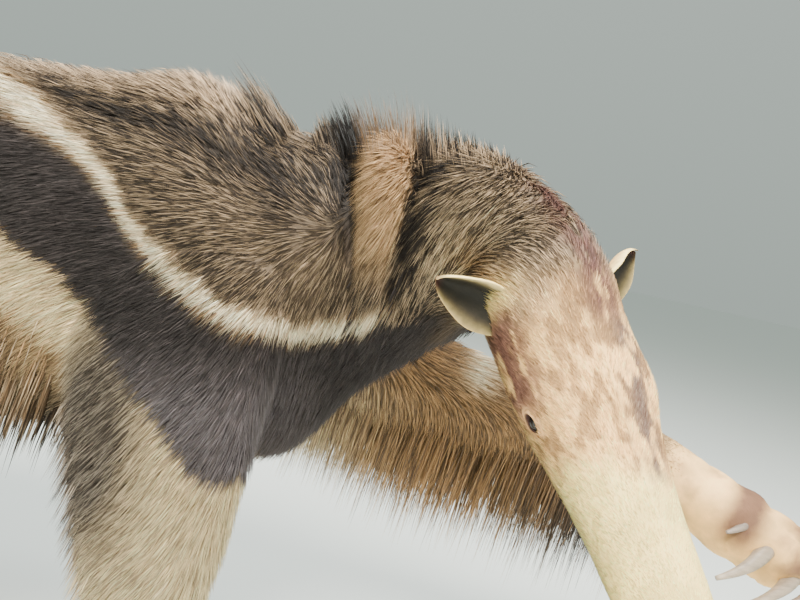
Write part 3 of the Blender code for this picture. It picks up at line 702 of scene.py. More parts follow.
# the trunk and neck, without the head, and the wavy heights over the band's two edges
def trunkPlace(points, where):
    wave = ripple(points, 55.0) * 0.0030 + ripple(points, 160.0, 2.0) * 0.0018
    return {"on": (where["part"] == spine) & (where["u"] < headStart - 0.35), "wave": wave,
            "above": overLine(points, bandTop) + wave, "below": overLine(points, bandLow) + wave * 1.6}


# the head's place and share, fine waves drawn out along it, and blotches
def facePlace(points, where):
    along, left, crown = headCoords(points)
    drawn = np.stack([along * 0.45, left, crown], 1)
    fine = ripple(drawn, 190.0, 3.0) + 0.8 * ripple(drawn, 460.0, 5.0)
    blotch = np.clip(0.5 + 0.30 * ripple(points, 70.0, 3.0) + 0.50 * fine, 0, 1)
    return {"on": headShare(points, where), "along": along, "left": left, "crown": crown,
            "top": step(0.0, 0.03, crown), "fine": fine, "blotch": blotch}


# back and rump, the back's pale crest, and under it a dark line that widens to the neck
def markBack(look, points, torso):
    x, _, z = points.T
    put(look, torso["on"] * step(-0.15, -0.50, x), paint["umber"], paint["grey"] * 1.6, 0.30)
    rump = torso["on"] * step(0.46, 0.30, z) * step(-0.12, -0.26, x)
    put(look, rump, paint["umber"] * 0.8, paint["grey"], 0.25)
    crest = torso["on"] * step(0.02, 0.05, torso["above"]) * step(0.548, 0.570, z) * step(0.06, 0.0, x)
    put(look, crest, paint["brown"] * 0.7, paint["pepper"] * 1.5, 0.54)
    over = overLine(points, darkLine) + torso["wave"]
    line = torso["on"] * 0.75 * bell(over, 0, np.interp(x, darkLine[:, 0], darkLine[:, 2]))
    line = line * step(0.10, 0.07, x) * step(-0.30, -0.16, x)
    put(look, line, paint["umber"] * 0.7, paint["umber"] * 2, 0.16)
    fore = torso["on"] * step(0.04, 0.09, x)
    put(look, fore * step(0.39, 0.43, z) * 0.9, paint["umber"] * 0.7, paint["pepper"] * 1.2, 0.30)


# the neck's tan ridge between grooves in painted shade, its grizzled nape, and paler places behind the ear and
# below
def markNeck(look, points, torso):
    x, y, z = points.T
    d, apart = foldPlace(points), folds["apart"] + 0.006
    rightSide = step(0.03, -0.02, y) * step(0.425, 0.455, z)
    # painted shade: the two grooves beside the ridge darkened
    shadedGrooves = bell(d, -apart, 0.019) + bell(d, apart, 0.015)
    put(look, torso["on"] * step(0.02, 0.07, x) * rightSide * shadedGrooves, paint["umber"] * 0.4,
        paint["umber"] * 1.3, 0.12)
    ridge = rightSide * torso["on"] * step(0.027, 0.017, np.abs(d) + 1.6 * torso["wave"])
    put(look, ridge * step(0.435, 0.49, z), paint["tan"] * 0.45, paint["pepper"] * 0.6 + paint["tan"] * 0.75,
        0.74)
    nape = torso["on"] * step(0.14, 0.17, x) * step(0.44, 0.47, z)
    flecks = nape * 0.8 * step(-0.1, 0.5, ripple(points, 90.0, 6.0))
    put(look, flecks, paint["umber"] * 0.6, paint["pepper"] * 1.9, 0.36)
    behindEar = bell(x, 0.215, 0.030) * bell(z, 0.500, 0.034) * step(-0.08, -0.12, y)
    put(look, torso["on"] * np.clip(behindEar * 1.2, 0, 0.85), paint["brown"], paint["cream"], 0.70)
    throat = torso["on"] * bell(z, 0.45, 0.035) * bell(x, 0.075, 0.05) * step(0.04, 0.09, x)
    put(look, throat, paint["brown"], paint["pepper"] * 1.2, 0.45)


# pale tips in clumps on the back and the neck
def markClumps(look, points, torso):
    high = np.maximum(step(0.530, 0.555, points[:, 2]), step(0.14, 0.17, points[:, 0]))
    clumped = torso["on"] * step(0.01, 0.03, torso["above"]) * high
    specks = ripple(points, 420.0, 5.0) + 0.8 * ripple(points, 230.0, 8.0)
    look["share"] = np.clip(look["share"] + 0.75 * clumped * specks, 0.02, 0.98)


# the cream below the band, on flank, forelegs and chest side
def markFlank(look, points, where, torso):
    x, _, z = points.T
    below = torso["below"]
    cream = torso["on"] * step(0.004, -0.006, below) * step(-0.30, -0.16, x) * step(0.29, 0.36, z)
    put(look, cream, paint["tan"] * 0.9, paint["cream"] * 1.04, 0.90)
    shaded = cream * step(-0.035, -0.075, below) * (0.75 + 0.25 * ripple(points, 45.0, 9.0))
    put(look, shaded, paint["brown"] * 0.8, paint["tan"], 0.38)
    narrow = torso["on"] * bell(below, -0.014, 0.014) * step(-0.42, -0.36, x)
    put(look, narrow, paint["brown"] * 2, paint["cream"], 0.80)
    legs = ((where["part"] == standing) | (where["part"] == reaching)).astype(float)
    put(look, legs * step(0.004, -0.006, below), paint["brown"] * 1.8, paint["cream"], 0.84)


# the black band, a painted highlight (sheen) on the chest side and its bright upper border
def markBand(look, points, where, torso):
    x, _, z = points.T
    part, u, above = where["part"], where["u"], torso["above"]
    band = torso["on"] | ((part == standing) & (u < 3.2)) | ((part == reaching) & (u < 1.3))
    inBand = band * step(0.003, -0.004, above) * step(-0.005, 0.004, torso["below"])
    # painted highlight: the band's lower part near the shoulder joint made lighter and purple-grey, as a sheen
    paintedSheen = step(0.40, 0.33, z) * step(-0.09, -0.01, x) * step(0.13, 0.06, x)
    put(look, inBand, paint["charcoal"], paint["charcoal"] * 2.6, 0.30)
    put(look, inBand * paintedSheen, paint["charcoal"] * 3.0, paint["paintedSheen"], 0.60)
    breadth = 0.0068 + 0.0042 * step(-0.06, -0.20, x)
    border = band * bell(above, breadth, breadth) * step(-0.44, -0.34, x) * step(0.17, 0.13, x)
    put(look, border * 1.2, paint["tan"] * 1.2, paint["white"], 0.97)


# the standing foreleg: a dark patch behind the elbow and a dark band above the foot
def markStanding(look, points, where, torso):
    x, y, z = points.T
    onLeg = where["part"] == standing
    elbow = bell(x, -0.047, 0.034) * bell(z, 0.300, 0.075)
    patch = onLeg * step(-0.06, -0.10, y) * np.clip(elbow * 1.5, 0, 0.9) * (torso["below"] < 0)
    put(look, patch, paint["umber"] * 1.3, paint["grey"] * 2.1, 0.42)
    cuff = onLeg * step(0.070, 0.055, z) * step(0.010, 0.030, z)
    put(look, cuff, paint["charcoal"] * 1.4, paint["umber"], 0.2)


# the raised foreleg: pale at the elbow, tan to brown along the forearm as painted shade with a painted-light
# white top, smooth pale wrist, yellow pad
def markReaching(look, points, where):
    u, up = where["u"], np.sin(where["angle"])
    onLeg = where["part"] == reaching
    arm = onLeg * step(1.0, 2.0, u)
    # painted shade: the cream forearm coloured tan to brown
    put(look, arm * step(5.0, 4.4, u), paint["brown"], paint["tan"] * 1.15, 0.60)
    elbow = onLeg * bell(u, 1.3, 0.70) * step(0.36, 0.31, points[:, 2])
    put(look, elbow, paint["brown"] * 2, paint["cream"] * 0.9, 0.7)
    # painted light: the forearm's lit top made white
    put(look, onLeg * bell(u, 2.9, 0.22) * step(0.2, 0.7, up), paint["tan"], paint["white"], 0.9)
    # painted shade: the forearm's underside darker
    put(look, onLeg * bell(u, 4.5, 0.6) * step(0.1, -0.6, up), paint["umber"], paint["brown"] * 1.6, 0.4)
    put(look, arm * step(4.6, 5.4, u), paint["tan"] * 1.2, paint["face"] * 1.05, 0.85)
    mottled = arm * step(4.9, 5.6, u) * step(0.05, 0.6, ripple(points, 120.0, 4.0)) * 0.6
    put(look, mottled, paint["tan"] * 0.9, paint["tan"] * 1.2, 0.5)
    pad = arm * step(5.6, 6.4, u) * step(0.2, -0.6, up) * 0.8
    put(look, pad, paint["pad"] * 0.8, paint["pad"] * 1.3, 0.8)
    knuckle = bell(u, 7.3, 0.35) + bell(u, 8.7, 0.5) * (0.5 + 0.5 * ripple(points, 150.0, 2.0))
    put(look, arm * np.clip(knuckle * 1.2, 0, 0.9) * step(-0.9, -0.2, up), paint["mauve"] * 0.5,
        paint["mauve"] * 0.7, 0.5)


def markHind(look, where):
    hind = (where["part"] == hindRight) | (where["part"] == hindLeft)
    put(look, hind.astype(float), paint["umber"] * 0.8, paint["grey"] * 1.2, 0.28)
    put(look, (where["part"] == tail).astype(float), paint["tail"] * 0.8, paint["grey"] * 1.3, 0.26)


# the upper head: mottled tan, dark at the temple and nape, a purple streak over the crown, a pale ear tuft
def markHead(look, where, face):
    along, left, blotch = face["along"], face["left"], face["blotch"]
    put(look, face["on"], paint["tan"] * 1.1, paint["face"], 0.84)
    # blotches of darker tan, stronger on the head's left side as painted shade
    mottled = step(0.38, 0.72, blotch) * (0.66 + 0.30 * step(-0.03, 0.02, left))
    put(look, face["on"] * step(0.19, 0.23, along) * mottled, paint["tan"] * 0.42, paint["tan"] * 0.85, 0.5)
    temple = face["on"] * step(0.31, 0.36, along) * step(-0.01, -0.03, left)
    put(look, temple, paint["umber"] * 2, paint["pepper"] * 1.7, 0.55)
    onCrown = (where["part"] == spine) * step(9.9, 10.6, where["u"])
    nape = onCrown * step(0.33, 0.37, along) * face["top"] * 0.85
    put(look, nape, paint["umber"] * 1.2, paint["pepper"] * 1.5, 0.45)
    streak = bell(left, 0.014, 0.017) * step(0.300, 0.325, along) * step(0.47, 0.42, along)
    streak = streak * step(0.0, 0.55, blotch)
    put(look, onCrown * face["top"] * streak, paint["mauve"] * 0.45, paint["mauve"] * 1.3, 0.45)
    earTuft = bell(along, 0.352, 0.014) * bell(left, -0.052, 0.013)
    put(look, onCrown * np.clip(earTuft * 1.3, 0, 0.95), paint["tan"] * 1.3, paint["muzzle"], 0.9)


# the lower head: a dark streak past the eye, partly painted shade, a purple jaw, the smooth cream muzzle and
# the dark nose
def markMuzzle(look, face):
    along, left, blotch = face["along"], face["left"], face["blotch"]
    # dark streak along the head's upper left side: partly darker hair, partly painted shade
    streak = bell(left, 0.024 - 0.13 * (0.31 - along), 0.011) * step(0.18, 0.205, along)
    streak = face["on"] * face["top"] * (streak * step(0.32, 0.30, along)) * step(0.1, 0.65, blotch)
    put(look, streak * 0.85, paint["mauve"] * 0.5, paint["grey"] * 1.6, 0.4)
    jaw = face["on"] * step(0.255, 0.285, along) * step(0.355, 0.335, along) * step(-0.034, -0.050, left)
    jaw = jaw * step(0.1, 0.5, blotch) * step(0.045, 0.02, face["crown"]) * 0.95
    put(look, jaw, paint["mauve"] * 0.6, paint["mauve"] * 1.7, 0.45)
    smooth = step(0.012, -0.012, along - 0.208 + 0.45 * left + 0.006 * face["fine"])
    put(look, face["on"] * smooth, paint["muzzle"] * 0.88, paint["muzzle"], 0.92)
    put(look, face["on"] * step(0.022, 0.008, along), paint["mauve"] * 0.35, paint["mauve"] * 0.5, 0.5)


def markEyes(look, points, face):
    for way in (1, -1):
        e, close = eyeRing(points, way)
        near = face["on"] * close
        put(look, near * bell(e, 1.7, 0.6) * 0.6, paint["tan"], paint["tan"] * 1.5, 0.7)
        put(look, near * step(1.42, 1.10, e), paint["mauve"] * 0.22, paint["mauve"] * 0.3, 0.4)


# The markings at each point: a dark and a pale hair colour, and the share of pale hairs
def markings(points, where):
    n = len(points)
    look = {"dark": np.tile(paint["umber"], (n, 1)), "pale": np.tile(paint["pepper"], (n, 1)),
            "share": np.full(n, 0.40) + 0.10 * ripple(points, 26.0, 1.0)}
    torso, face = trunkPlace(points, where), facePlace(points, where)
    markBack(look, points, torso)
    markNeck(look, points, torso)
    markClumps(look, points, torso)
    markFlank(look, points, where, torso)
    markBand(look, points, where, torso)
    markStanding(look, points, where, torso)
    markReaching(look, points, where)
    markHind(look, where)
    markHead(look, where, face)
    markMuzzle(look, face)
    markEyes(look, points, face)
    return look["dark"], look["pale"], np.clip(look["share"], 0.02, 0.98)


# Where the hairs of the right shoulder fan out from, and by what share a limb's hair hangs down
combing = {"fanFrom": vec(0.094, -0.12, 0.487),
           "hangs": {standing: 0.55, reaching: 0.75, hindRight: 0.25, hindLeft: 0.25, tail: 0.45}}


# back and outwards on the top, back and down on the flank
def layOfTrunk(points):
    _, y, z = points.T
    flank = step(0.56, 0.34, z)
    outwards = 0.35 * np.sign(y) * step(0.0, 0.05, np.abs(y)) * (1 - flank)
    return np.stack([-1 + 0.45 * flank, outwards, -0.12 - 0.75 * flank], 1)


# along the limb, blended with downwards and back
def layOfLimb(number, u, angle):
    share = np.full(len(u), combing["hangs"][number])
    if number == reaching:
        share = combing["hangs"][number] * step(0.6, -0.4, np.sin(angle)) * step(5.6, 4.0, u)
    hanging = vec(-1.3, 0, -0.55) if number == standing else vec(-0.25, 0, -1)
    return blend(loftFrame(lofts[number], u)[1], hanging, share[:, None])


# Where each hair lies: trunk back and down, neck down, head up from the nose, legs down, tail back and down
def layOfCoat(points, normals, where):
    part, u = where["part"], where["u"]
    x, y, z = points.T
    fan = unit((points - combing["fanFrom"]) * vec(1, 0.3, 1)) + vec(-0.35, 0, -0.15)
    shoulder = (part == spine) * step(-0.03, -0.08, y) * step(-0.20, -0.08, x) * step(0.165, 0.085, x)
    way = blend(layOfTrunk(points), fan, (shoulder * step(0.56, 0.53, z))[:, None])
    onNeck = (part == spine) * step(8.2, 9.2, u) * step(0.085, 0.12, x)
    way = blend(way, vec(-0.30, -0.1, -0.9), onNeck[:, None])
    left = headCoords(points)[1]
    back = -headForward + headLeft * (np.sign(left) * 0.22)[:, None] - headCrown * 0.05
    way = blend(way, back, headShare(points, where, 0.42, 0.33)[:, None])
    for number in combing["hangs"]:
        mine = part == number
        if mine.any():
            way[mine] = layOfLimb(number, u[mine], where["angle"][mine])
    way = way + 0.16 * np.stack([ripple(points, 30.0, s) for s in (0.3, 1.7, 4.1)], 1)
    return unit(way - normals * (way * normals).sum(1, keepdims=True))


# The coat: lengths of the short hair, and for the legs from top to foot; each tuft has three sides
coat = {
    "lengths": {"trunk": 0.030, "shoulder": 0.0165, "neck": 0.0165, "head": 0.0068, "muzzle": 0.0036,
                "tail": 0.060},
    "legs": {standing: (0.018, 0.007), reaching: (0.022, 0.005), hindRight: (0.034, 0.010),
             hindLeft: (0.034, 0.010)},
    "sides": 3,
    "arch": 0.62,
    "sunk": 0.6,
    "overFloor": 0.0015,
    "bakePatch": 0.003,
}

# the unwrap for the bake: a rectangle of the unit square for each loft
bakeSheets = {
    spine: (0.01, 0.42, 0.98, 0.56),
    tail: (0.01, 0.22, 0.48, 0.18),
    standing: (0.51, 0.22, 0.48, 0.18),
    reaching: (0.01, 0.02, 0.30, 0.18),
    hindRight: (0.34, 0.02, 0.30, 0.18),
    hindLeft: (0.67, 0.02, 0.30, 0.18),
}


def unwrap(where):
    uv = np.zeros((len(where["u"]), 2))
    for number, (x, y, wide, high) in bakeSheets.items():
        mine = where["part"] == number
        turn = ((where["angle"][mine] + np.pi / 2) / (2 * np.pi)) % 1.0
        uv[mine, 0] = x + wide * where["u"][mine] / lofts[number]["last"]
        uv[mine, 1] = y + high * turn
    return uv


# one tuft's triangles: bands between its rings, a fan to the tip and one triangle at the base
def tuftFaces(rings, sides):
    faces = []
    for k in range(rings):
        for s in range(sides):
            a, b = k * sides + s, k * sides + (s + 1) % sides
            if k + 1 < rings:
                faces += [(a, a + sides, b), (b, a + sides, b + sides)]
            else:
                faces.append((a, rings * sides, b))
    return np.array(faces + [(0, 1, 2)])


# Tufts: closed tapers. Their middle runs root + way L t + normal rise sin(arch pi t) + fall L t^2
def tuftMesh(name, root, normal, way, fall, length, width, rise, uv, rootColour, tipColour, rings=2,
             flat=0.45):
    sides, patch, arch = coat["sides"], coat["bakePatch"], coat["arch"]
    across = unit(np.cross(way, normal))
    points, colours, places = [], [], []
    for k, t in enumerate(np.linspace(0, 1, rings + 1)[:-1]):
        middle = (root - normal * (width * coat["sunk"])[:, None] + way * (length * t)[:, None]
                  + normal * (rise * np.sin(t * np.pi * arch))[:, None] + fall * (length * t ** 2)[:, None])
        size = width * (0.5 if k == 0 else 0.5 * (1.06 - t ** 1.5))
        for s in range(sides):
            a = 2 * np.pi * s / sides + np.pi / 2
            spot = across * (math.cos(a) * size)[:, None] + normal * (math.sin(a) * size * flat)[:, None]
            points.append(middle + spot)
            colours.append(blend(rootColour, tipColour, t))
            places.append(uv + vec(s / (sides - 1) - 0.5, t - 0.5) * patch)
    points.append(root + way * length[:, None] + normal * (rise * math.sin(np.pi * arch))[:, None]
                  + fall * length[:, None])
    colours.append(tipColour)
    places.append(uv + vec(0, 0.5) * patch)
    starts = np.arange(len(root)) * (rings * sides + 1)
    faces = (tuftFaces(rings, sides)[None] + starts[:, None, None]).reshape(-1, 3)
    points = np.stack(points, 1).reshape(-1, 3)
    points[:, 2] = np.maximum(points[:, 2], coat["overFloor"])
    mesh = newMesh(name, points, faces)
    setColour(mesh, "coatColour", np.stack(colours, 1).reshape(-1, 3))
    flatUv = np.stack(places, 1).reshape(-1, 2)[faces.ravel()]
    mesh.uv_layers.new(name="OFBake").data.foreach_set("uv", flatUv.astype(np.float32).ravel())
    return mesh


# a tuft's root and tip colour: the tip is pale or dark by the share of pale hairs, the root a darker blend
def tuftColours(dark, pale, share, base=0.62):
    n = len(share)
    isPale = draw.random(n) < share
    shade = np.exp(draw.normal(0, 0.20, n))[:, None]
    tip = np.where(isPale[:, None], pale, dark * 1.2) * shade
    mixed = (share ** 2)[:, None]
    root = blend(dark, pale, mixed) * (base + (0.95 - base) * 0.8 * mixed) * shade
    return np.clip(root, 0, 0.95), np.clip(tip, 0, 0.95)


# the short coat's length at each point
def coatLength(points, where):
    part, u = where["part"], where["u"]
    sizes = coat["lengths"]
    front = (part == spine) * step(-0.30, -0.12, points[:, 0])
    length = blend(np.full(len(points), sizes["trunk"]), sizes["shoulder"], front)
    edge = np.abs(overLine(points, bandTop) - 0.008)
    length = length * (1 - 0.30 * front * bell(edge, 0, 0.022))
    length = blend(length, sizes["neck"], (part == spine) * step(8.0, 10.0, u))
    onFace = step(0.12, 0.27, headCoords(points)[0])
    headLength = sizes["muzzle"] + (sizes["head"] - sizes["muzzle"]) * onFace
    length = blend(length, headLength, headShare(points, where, 0.40, 0.32))
    for number, (high, low) in coat["legs"].items():
        down = step(2.0, 5.0, u) if number == reaching else step(2.5, 6.0, u)
        length = np.where(part == number, blend(high, low, down), length)
    return np.where(part == tail, sizes["tail"], length)


# Where the photo was taken from, and how near that place is to a point that faces it
camera = {"at": vec(0.160, -0.740, 0.500), "down": 5.0, "roll": 12.0, "lens": 36.0}


def nearCamera(points, normals):
    way = camera["at"] - points
    far = np.linalg.norm(way, axis=1)
    return step(1.15, 0.75, far) * step(-0.35, 0.15, (way * normals).sum(1) / far)


# random places on the mesh's triangles: corner A + a (B - A) + b (C - A); density is in tufts a square metre
def scatter(mesh, points, normals, density):
    mesh.calc_loop_triangles()
    tri = readRows(mesh.loop_triangles, "vertices", 3, np.int32)
    corners = points[tri]
    area = np.linalg.norm(np.cross(corners[:, 1] - corners[:, 0], corners[:, 2] - corners[:, 0]), axis=1) / 2
    weight = area * density[tri].mean(1)
    wanted = int(weight.sum())
    chosen = draw.choice(len(tri), wanted, p=weight / weight.sum())
    a, b = draw.random((2, wanted))
    flip = a + b > 1
    a[flip], b[flip] = 1 - a[flip], 1 - b[flip]
    share = np.stack([1 - a - b, a, b], 1)[..., None]
    return (corners[chosen] * share).sum(1), unit((normals[tri[chosen]] * share).sum(1))


# Materials
def newMaterial(name, rough, colour=(0.5, 0.5, 0.5), gloss=0.5):
    made = bpy.data.materials.new(name)
    made.use_nodes = True
    shader = made.node_tree.nodes["Principled BSDF"]
    shader.inputs["Base Color"].default_value = (*colour, 1)
    shader.inputs["Roughness"].default_value = rough
    shader.inputs["Specular IOR Level"].default_value = gloss
    return made, made.node_tree, shader


def addNode(tree, kind, **values):
    made = tree.nodes.new(kind)
    for name, value in values.items():
        if hasattr(made, name):
            setattr(made, name, value)
        else:
            made.inputs[name].default_value = value
    return made


def noiseOf(tree, scale, detail=3.0, stretch=None, turn=(0, 0, 0)):
    place = addNode(tree, "ShaderNodeTexCoord")
    noise = addNode(tree, "ShaderNodeTexNoise", Scale=scale, Detail=detail)
    source = place.outputs["Object"]
    if stretch:
        turned = addNode(tree, "ShaderNodeMapping", vector_type="TEXTURE", Rotation=turn)
        tree.links.new(source, turned.inputs["Vector"])
        scaled = addNode(tree, "ShaderNodeMapping", Scale=stretch)
        tree.links.new(turned.outputs["Vector"], scaled.inputs["Vector"])
        source = scaled.outputs["Vector"]
    tree.links.new(source, noise.inputs["Vector"])
    return noise.outputs["Fac"]


# colour attribute times a range of greys that follows a noise
def tinted(tree, shader, attribute, fac, low, high):
    colour = addNode(tree, "ShaderNodeVertexColor", layer_name=attribute)
    spread = addNode(tree, "ShaderNodeMapRange")
    spread.inputs["From Min"].default_value = 0.3
    spread.inputs["From Max"].default_value = 0.7
    spread.inputs["To Min"].default_value = low
    spread.inputs["To Max"].default_value = high
    tree.links.new(fac, spread.inputs["Value"])
    times = addNode(tree, "ShaderNodeVectorMath", operation="SCALE")
    tree.links.new(colour.outputs["Color"], times.inputs[0])
    tree.links.new(spread.outputs["Result"], times.inputs["Scale"])
    tree.links.new(times.outputs["Vector"], shader.inputs["Base Color"])


def bumped(tree, shader, fac, strength, depth):
    bump = addNode(tree, "ShaderNodeBump", Strength=strength, Distance=depth)
    tree.links.new(fac, bump.inputs["Height"])
    tree.links.new(bump.outputs["Normal"], shader.inputs["Normal"])


# turn that carries the X axis along the head
headTurn = Matrix([list(v) for v in np.stack([headForward, headLeft, headCrown], 1)]).to_euler()


def skinMaterial():
    made, tree, shader = newMaterial("skin", 0.72, gloss=0.3)
    tinted(tree, shader, "coatColour", noiseOf(tree, 42.0, 6.0), 0.78, 1.22)
    bumped(tree, shader, noiseOf(tree, 1.0, 4.0, (130.0, 900.0, 900.0), headTurn), 0.55, 0.0010)
    return made


def coatMaterial():
    made, tree, shader = newMaterial("coat", 0.62, gloss=0.28)
    tinted(tree, shader, "coatColour", noiseOf(tree, 90.0), 0.88, 1.12)
    return made


# presses folds, muscles, eyes and nose into the skin, keeps it over the floor, and says where its points are
def shapeSkin(mesh):
    points, normals = readMesh(mesh)
    where = locate(points)
    points = points + shapeFolds(points, normals, where) + shapeBody(points, normals, where)
    points = points + shapeEye(points, 1) + shapeEye(points, -1) + shapeNose(points)
    points[:, 2] = np.maximum(points[:, 2], skinPlan["overFloor"])
    writePoints(mesh, points)
    return where


# the mean hair colour, full on the bare muzzle and paw, and darker under the coat
def paintSkin(mesh, points, where):
    dark, pale, share = markings(points, where)
    shade = skinPlan["shade"]
    under = dark * (shade * (1 - share))[:, None] + pale * (shade * share)[:, None] * 0.85
    bare = headShare(points, where, 0.34, 0.28)
    bare = np.maximum(bare, (where["part"] == reaching) * step(4.7, 5.2, where["u"]))
    setColour(mesh, "coatColour", blend(under, blend(dark, pale, share[:, None]), bare[:, None]))


skinMesh = buildSkin()
print("skin surface", len(skinMesh.polygons))
refineHead(skinMesh)
where = shapeSkin(skinMesh)
points, normals = readMesh(skinMesh)
paintSkin(skinMesh, points, where)
skin = newPiece("skin", skinMesh, skinMaterial())
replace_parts(skin, "torso", "neck", "head", "tail", "foreleg_right", "foreleg_left", "hindleg_right",
            "hindleg_left", "forefoot_right", "forefoot_left", "hindfoot_right", "hindfoot_left")
print("skin shaped", len(skinMesh.polygons), "faces")

# The short coat: how many layers of tufts lie over one another, and how wide a tuft is
shortCoat = {"layers": 1.9, "nearLayers": 3.4, "width": 0.0042, "nearWidth": 0.0015, "headLayers": 2.2,
             "headWidth": 0.0014, "most": 19000, "rise": 0.24}


def tuftWidth(points, normals, where):
    near = nearCamera(points, normals)
    wide = shortCoat["width"] + (shortCoat["nearWidth"] - shortCoat["width"]) * near
    along = headCoords(points)[0]
    headPart = headShare(points, where, 0.40, 0.33)
    headWide = shortCoat["headWidth"] * (0.75 + 0.25 * step(0.10, 0.30, along))
    return wide * (1 - headPart) + headWide * headPart


# tufts a square metre: layers / (length width / 2), none round the eyes, on the soles and on the palm
def coatDensity(points, normals, where):
    length, width = coatLength(points, where), tuftWidth(points, normals, where)
    near = nearCamera(points, normals)
    layers = shortCoat["layers"] + (shortCoat["nearLayers"] - shortCoat["layers"]) * near
    layers = blend(layers, shortCoat["headLayers"], headShare(points, where, 0.40, 0.33))
    count = layers / (length * width * 0.5)
    count = count * step(0.004, 0.012, headCoords(points)[0] + (where["part"] != spine))
    for way in (1, -1):
        e, close = eyeRing(points, way)
        count = count * (1 - close * step(2.1, 1.6, e))
    soles = points[:, 2] < 0.006
    palmSide = (where["part"] == reaching) * step(4.9, 5.5, where["u"])
    return count * (1 - soles) * (1 - palmSide) * np.where(where["part"] == tail, 0.6, 1.0)


roots, outs = scatter(skinMesh, points, normals, coatDensity(points, normals, where))
rootPlace = locate(roots)
coatLook = coatMaterial()


def addCoat(name, mesh):
    newPiece(name, mesh, coatLook)
    print(name, len(mesh.polygons), "triangles")


def isOnHead(points, where):
    return headShare(points, where, 0.346, 0.344) > 0.5


# the short tufts of one piece, on the chosen roots
def growShort(name, index, rings):
    root, normal = roots[index], outs[index]
    place = {key: value[index] for key, value in rootPlace.items()}
    n = len(index)
    length = coatLength(root, place) * draw.uniform(0.70, 1.25, n)
    width = tuftWidth(root, normal, place) * draw.uniform(0.75, 1.3, n)
    way = layOfCoat(root, normal, place)
    dark, pale, share = markings(root + way * (0.55 * length)[:, None], place)
    onFace = headShare(root, place, 0.38, 0.30)[:, None]
    rootColour, tipColour = tuftColours(dark, pale, share, 0.62 + 0.30 * onFace)
    way = unit(way + draw.normal(0, 0.10, (n, 3)))
    way = unit(way - normal * ((way * normal).sum(1) - 0.05)[:, None])
    onHead = isOnHead(root, place)
    crest = (place["part"] == spine) * step(0.35, 0.9, np.sin(place["angle"])) * step(11.6, 10.8, place["u"])
    rise = length * (shortCoat["rise"] + 0.25 * crest) * draw.uniform(0.5, 1.5, n)
    rise = np.where(onHead, length * 0.16, rise)
    fall = vec(-0.02, 0, -0.16) * np.where(onHead, 0.2, 1.0)[:, None]
    addCoat(name, tuftMesh(name, root, normal, way, fall, length, width, rise, unwrap(place), rootColour,
                           tipColour, rings))


# the chosen roots in order of loft and place, cut into pieces
def inGroups(chosen, most):
    index = np.nonzero(chosen)[0]
    order = index[np.argsort(rootPlace["part"][index] * 100 + rootPlace["u"][index], kind="stable")]
    return np.array_split(order, max(1, math.ceil(len(order) / most)))


onHead = isOnHead(roots, rootPlace)
isNear = ~onHead & (nearCamera(roots, outs) > 0.5)
groups = {"far": (~onHead & ~isNear, 1, 2), "near": (isNear, 2, 1), "head": (onHead, 2, 1)}
for name, (chosen, times, rings) in groups.items():
    for number, index in enumerate(inGroups(chosen, shortCoat["most"] * times)):
        growShort(f"coat_{name}_{number + 1}", index, rings)

# The long hair: how deep its roots are sunk, how much of a tuft is straight and how much of it falls
longHair = {"sunk": 0.004, "straight": 0.62, "falls": 0.42, "overFloor": 0.006}
topAngle = np.pi / 2


# long tufts on a loft at places (u, angle); none reaches the floor, length <= (height - gap) / drop
def growLong(name, number, u, angle, length, lie, fall, width, lift, paintBy=markings, rings=4):
    n = len(u)
    loft = lofts[number]
    u = np.clip(u, 0.02, loft["last"] - 0.02)
    root = loftPoint(loft, u, angle, np.interp(u, *coatDepth[number]) + longHair["sunk"])
    row, _, left, up = loftFrame(loft, u)
    reach = np.where(np.sin(angle) > 0, row[:, 4], row[:, 5])
    normal = unit(left * (np.cos(angle) * reach)[:, None] + up * (np.sin(angle) * row[:, 3])[:, None])
    place = {"part": np.full(n, number), "u": u, "angle": angle}
    lie = unit(np.broadcast_to(lie, (n, 3)) + draw.normal(0, 0.07, (n, 3)))
    length = length * draw.uniform(0.72, 1.08, n)
    drop = -(lie[:, 2] * longHair["straight"] + fall[2] * longHair["falls"])
    most = (root[:, 2] - longHair["overFloor"]) / np.maximum(drop, 0.05)
    length = np.where(drop > 0, np.minimum(length, most), length)
    rootColour, tipColour = tuftColours(*paintBy(root, place))
    width = width * draw.uniform(0.7, 1.3, n)
    rise = length * lift * draw.uniform(0.6, 1.4, n)
    addCoat(name, tuftMesh(name, root, normal, lie * longHair["straight"], vec(*fall) * longHair["falls"],
                           length, width, rise, unwrap(place), rootColour, tipColour, rings, 0.35))


def growMane():
    n = 3400
    u = 0.9 + 7.4 * draw.random(n) ** 0.8
    angle = topAngle + draw.normal(0, 0.24, n)
    high = bell(u, 7.95, 0.55)
    length = (0.034 + 0.024 * np.clip(6.6 - u, 0, 6)) * bell(angle, topAngle, 0.9) + 0.020 * high
    lie = np.stack([-1 + 0.45 * high, 0.9 * np.cos(angle), 0.20 + 1.1 * high], 1)
    growLong("coat_mane", spine, u, angle, length, lie, (-0.91, 0, -0.31), 0.0026, 0.06)


def growWithers():
    n = 1300
    u = draw.uniform(7.15, 8.35, n)
    angle = topAngle + draw.normal(0, 0.30, n)
    length = 0.086 * bell(u, 7.95, 0.42) * bell(angle, topAngle, 0.7) * draw.uniform(0.6, 1.0, n) + 0.012
    lie = np.stack([-0.45 + 0 * u, 0.7 * np.cos(angle), 1 + 0 * u], 1)
    growLong("coat_withers", spine, u, angle, length, lie, (-0.6, 0, 0.1), 0.0016, 0.06, rings=3)


def flankColours(root, place):
    dark, pale, share = markings(root, place)
    return dark * 0.7, pale * 0.5 + paint["grey"] * 0.8, share * 0.55


